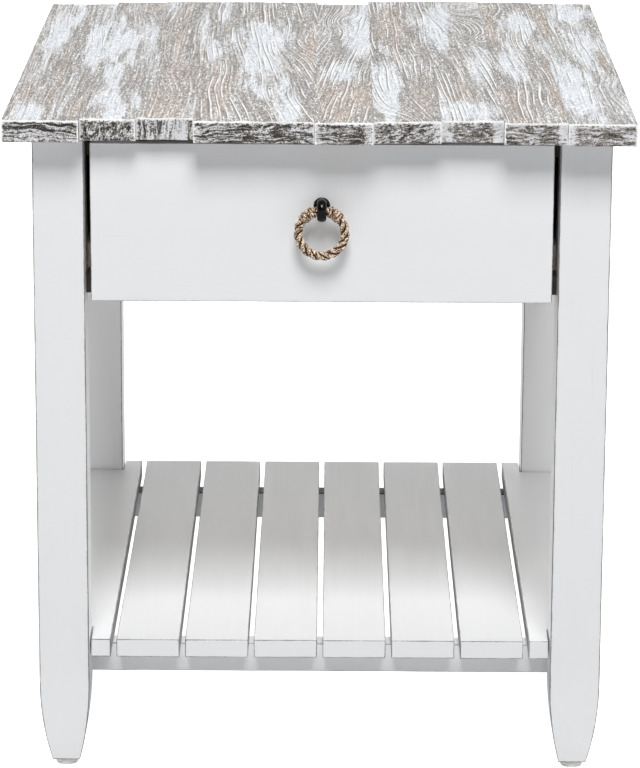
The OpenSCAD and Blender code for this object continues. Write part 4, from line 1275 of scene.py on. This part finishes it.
class SIDETABLE_OT_pull_rope(bpy.types.Operator):
    """Builds the laid rope ring and its whippings"""

    bl_idname = "side_table.pull_rope"
    bl_label = "Pull rope"

    def execute(self, context):
        settings = context.scene.table_pull
        rope_radius = settings.rope_diameter / 2
        low, high = corners("rope_ring")
        centre = (low + high) / 2
        radius = (high[0] - low[0]) / 2 - rope_radius

        def between_strands(from_line):
            """1 from 0.62 of the rope's radius inwards, falling evenly to 0 at its outside."""
            return np.clip(1 - (from_line / rope_radius - 0.62) / 0.38, 0, 1)

        def between_turns(from_line):
            """1 on the rope, falling smoothly to 0 on top of the twine."""
            return 1 - smooth_step(1.06, 1.24, from_line / rope_radius)

        jute = rope_material("laid_jute", settings)
        strands = [laid_strand(settings, centre, radius, 2 * np.pi * k / 3, 5 + k) for k in range(3)]
        points, faces, twist, lay = (list(part) for part in zip(*strands))
        for k in range(3):
            faces[k] = faces[k] + k * len(points[k])
            lay[k] = lay[k] + 200 * k
        points = np.vstack(points)
        fields = rope_fields(points, centre, radius, np.vstack(twist), np.concatenate(lay),
                             between_strands)
        add_piece("laid_rope_ring", points, faces, jute, RING, "rope_ring", fields, 80)

        twine = rope_material("jute_twine", settings, contrast=0.55)
        start = math.asin((settings.eye_width / 2 + 1.5 * MM) / (radius - 3 * MM))
        end = start + settings.whip_length / radius
        for k, side in enumerate((-1, 1)):
            points, faces, twist, lay = whipping(settings, centre, radius, side * start, side * end,
                                                 0.7 + 1.9 * k)
            fields = rope_fields(points, centre, radius, twist, lay, between_turns)
            add_piece(f"twine_whipping_{k + 1}", points, faces, twine, RING, "ring_whippings",
                      fields, 80)
        return {"FINISHED"}


class SIDETABLE_OT_inner_parts(bpy.types.Operator):
    """Gives the drawer box, the runners and the fasteners their finishes and the front rails a near-black
    painted shade
    """

    bl_idname = "side_table.inner_parts"
    bl_label = "Inner parts"

    def execute(self, context):
        pine = ((0.58, 0.46, 0.34), (0.72, 0.62, 0.50))
        birch = ((0.64, 0.55, 0.43), (0.76, 0.69, 0.58))
        # painted shade: the front rails get near-black wood, seen as dark gaps beside the drawer front
        painted_shade = ((0.022, 0.018, 0.015), (0.045, 0.036, 0.030))
        finishes = {
            bare_wood_material("painted_shade_rails", 0, *painted_shade): ("front_top_rail", "front_bottom_rail"),
            bare_wood_material("pine_across", 0, *pine): (
                "top_batten_front", "top_batten_middle", "top_batten_rear", "drawer_stop",
                "drawer_inner_front", "drawer_back"),
            bare_wood_material("pine_front_to_back", 1, *pine): (
                "drawer_runner_left", "drawer_runner_right", "drawer_kicker_left", "drawer_kicker_right",
                "drawer_closing_stops", "drawer_side_left", "drawer_side_right"),
            bare_wood_material("birch_bottom", 0, *birch): ("drawer_bottom",),
            zinc_material(): ("bolt_washer", "bolt_nut", "slat_screws", "top_screws", "drawer_screws"),
        }
        for material, names in finishes.items():
            for name in names:
                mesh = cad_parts[name].data
                mesh.materials.clear()
                mesh.materials.append(material)
        return {"FINISHED"}


class SIDETABLE_PT_panel(bpy.types.Panel):
    """Lists the steps that build the table"""

    bl_idname = "SIDETABLE_PT_panel"
    bl_label = "Side table"
    bl_space_type = "VIEW_3D"
    bl_region_type = "UI"
    bl_category = "Side table"

    def draw(self, context):
        for step in STEPS:
            self.layout.operator(step.bl_idname)
        for group in GROUPS:
            box = self.layout.box()
            settings = getattr(context.scene, group)
            for name in settings.__annotations__:
                box.prop(settings, name)


STEPS = (
    SIDETABLE_OT_stage,
    SIDETABLE_OT_top_boards,
    SIDETABLE_OT_legs,
    SIDETABLE_OT_panels,
    SIDETABLE_OT_drawer_front,
    SIDETABLE_OT_shelf,
    SIDETABLE_OT_glides,
    SIDETABLE_OT_pull_eye,
    SIDETABLE_OT_pull_rope,
    SIDETABLE_OT_inner_parts,
)
GROUPS = {
    "table_top": TableTopSettings,
    "table_paint": TablePaintSettings,
    "table_pull": TablePullSettings,
    "table_stage": TableStageSettings,
}
CLASSES = (*GROUPS.values(), *STEPS, SIDETABLE_PT_panel)


def register():
    """Adds the settings, the steps and the panel."""
    for item in CLASSES:
        bpy.utils.register_class(item)
    for name, group in GROUPS.items():
        setattr(bpy.types.Scene, name, PointerProperty(type=group))


def unregister():
    """Takes away what register added."""
    for name in GROUPS:
        delattr(bpy.types.Scene, name)
    for item in reversed(CLASSES):
        bpy.utils.unregister_class(item)


def main():
    """Registers the add-on, builds the shared effects and runs its steps in order."""
    register()
    for make_group in (make_grain_group, make_wear_group, make_brush_group):
        make_group()
    for step in STEPS:
        operator = step.bl_idname.split(".")[1]
        getattr(bpy.ops.side_table, operator)()


if __name__ == "__main__":
    main()
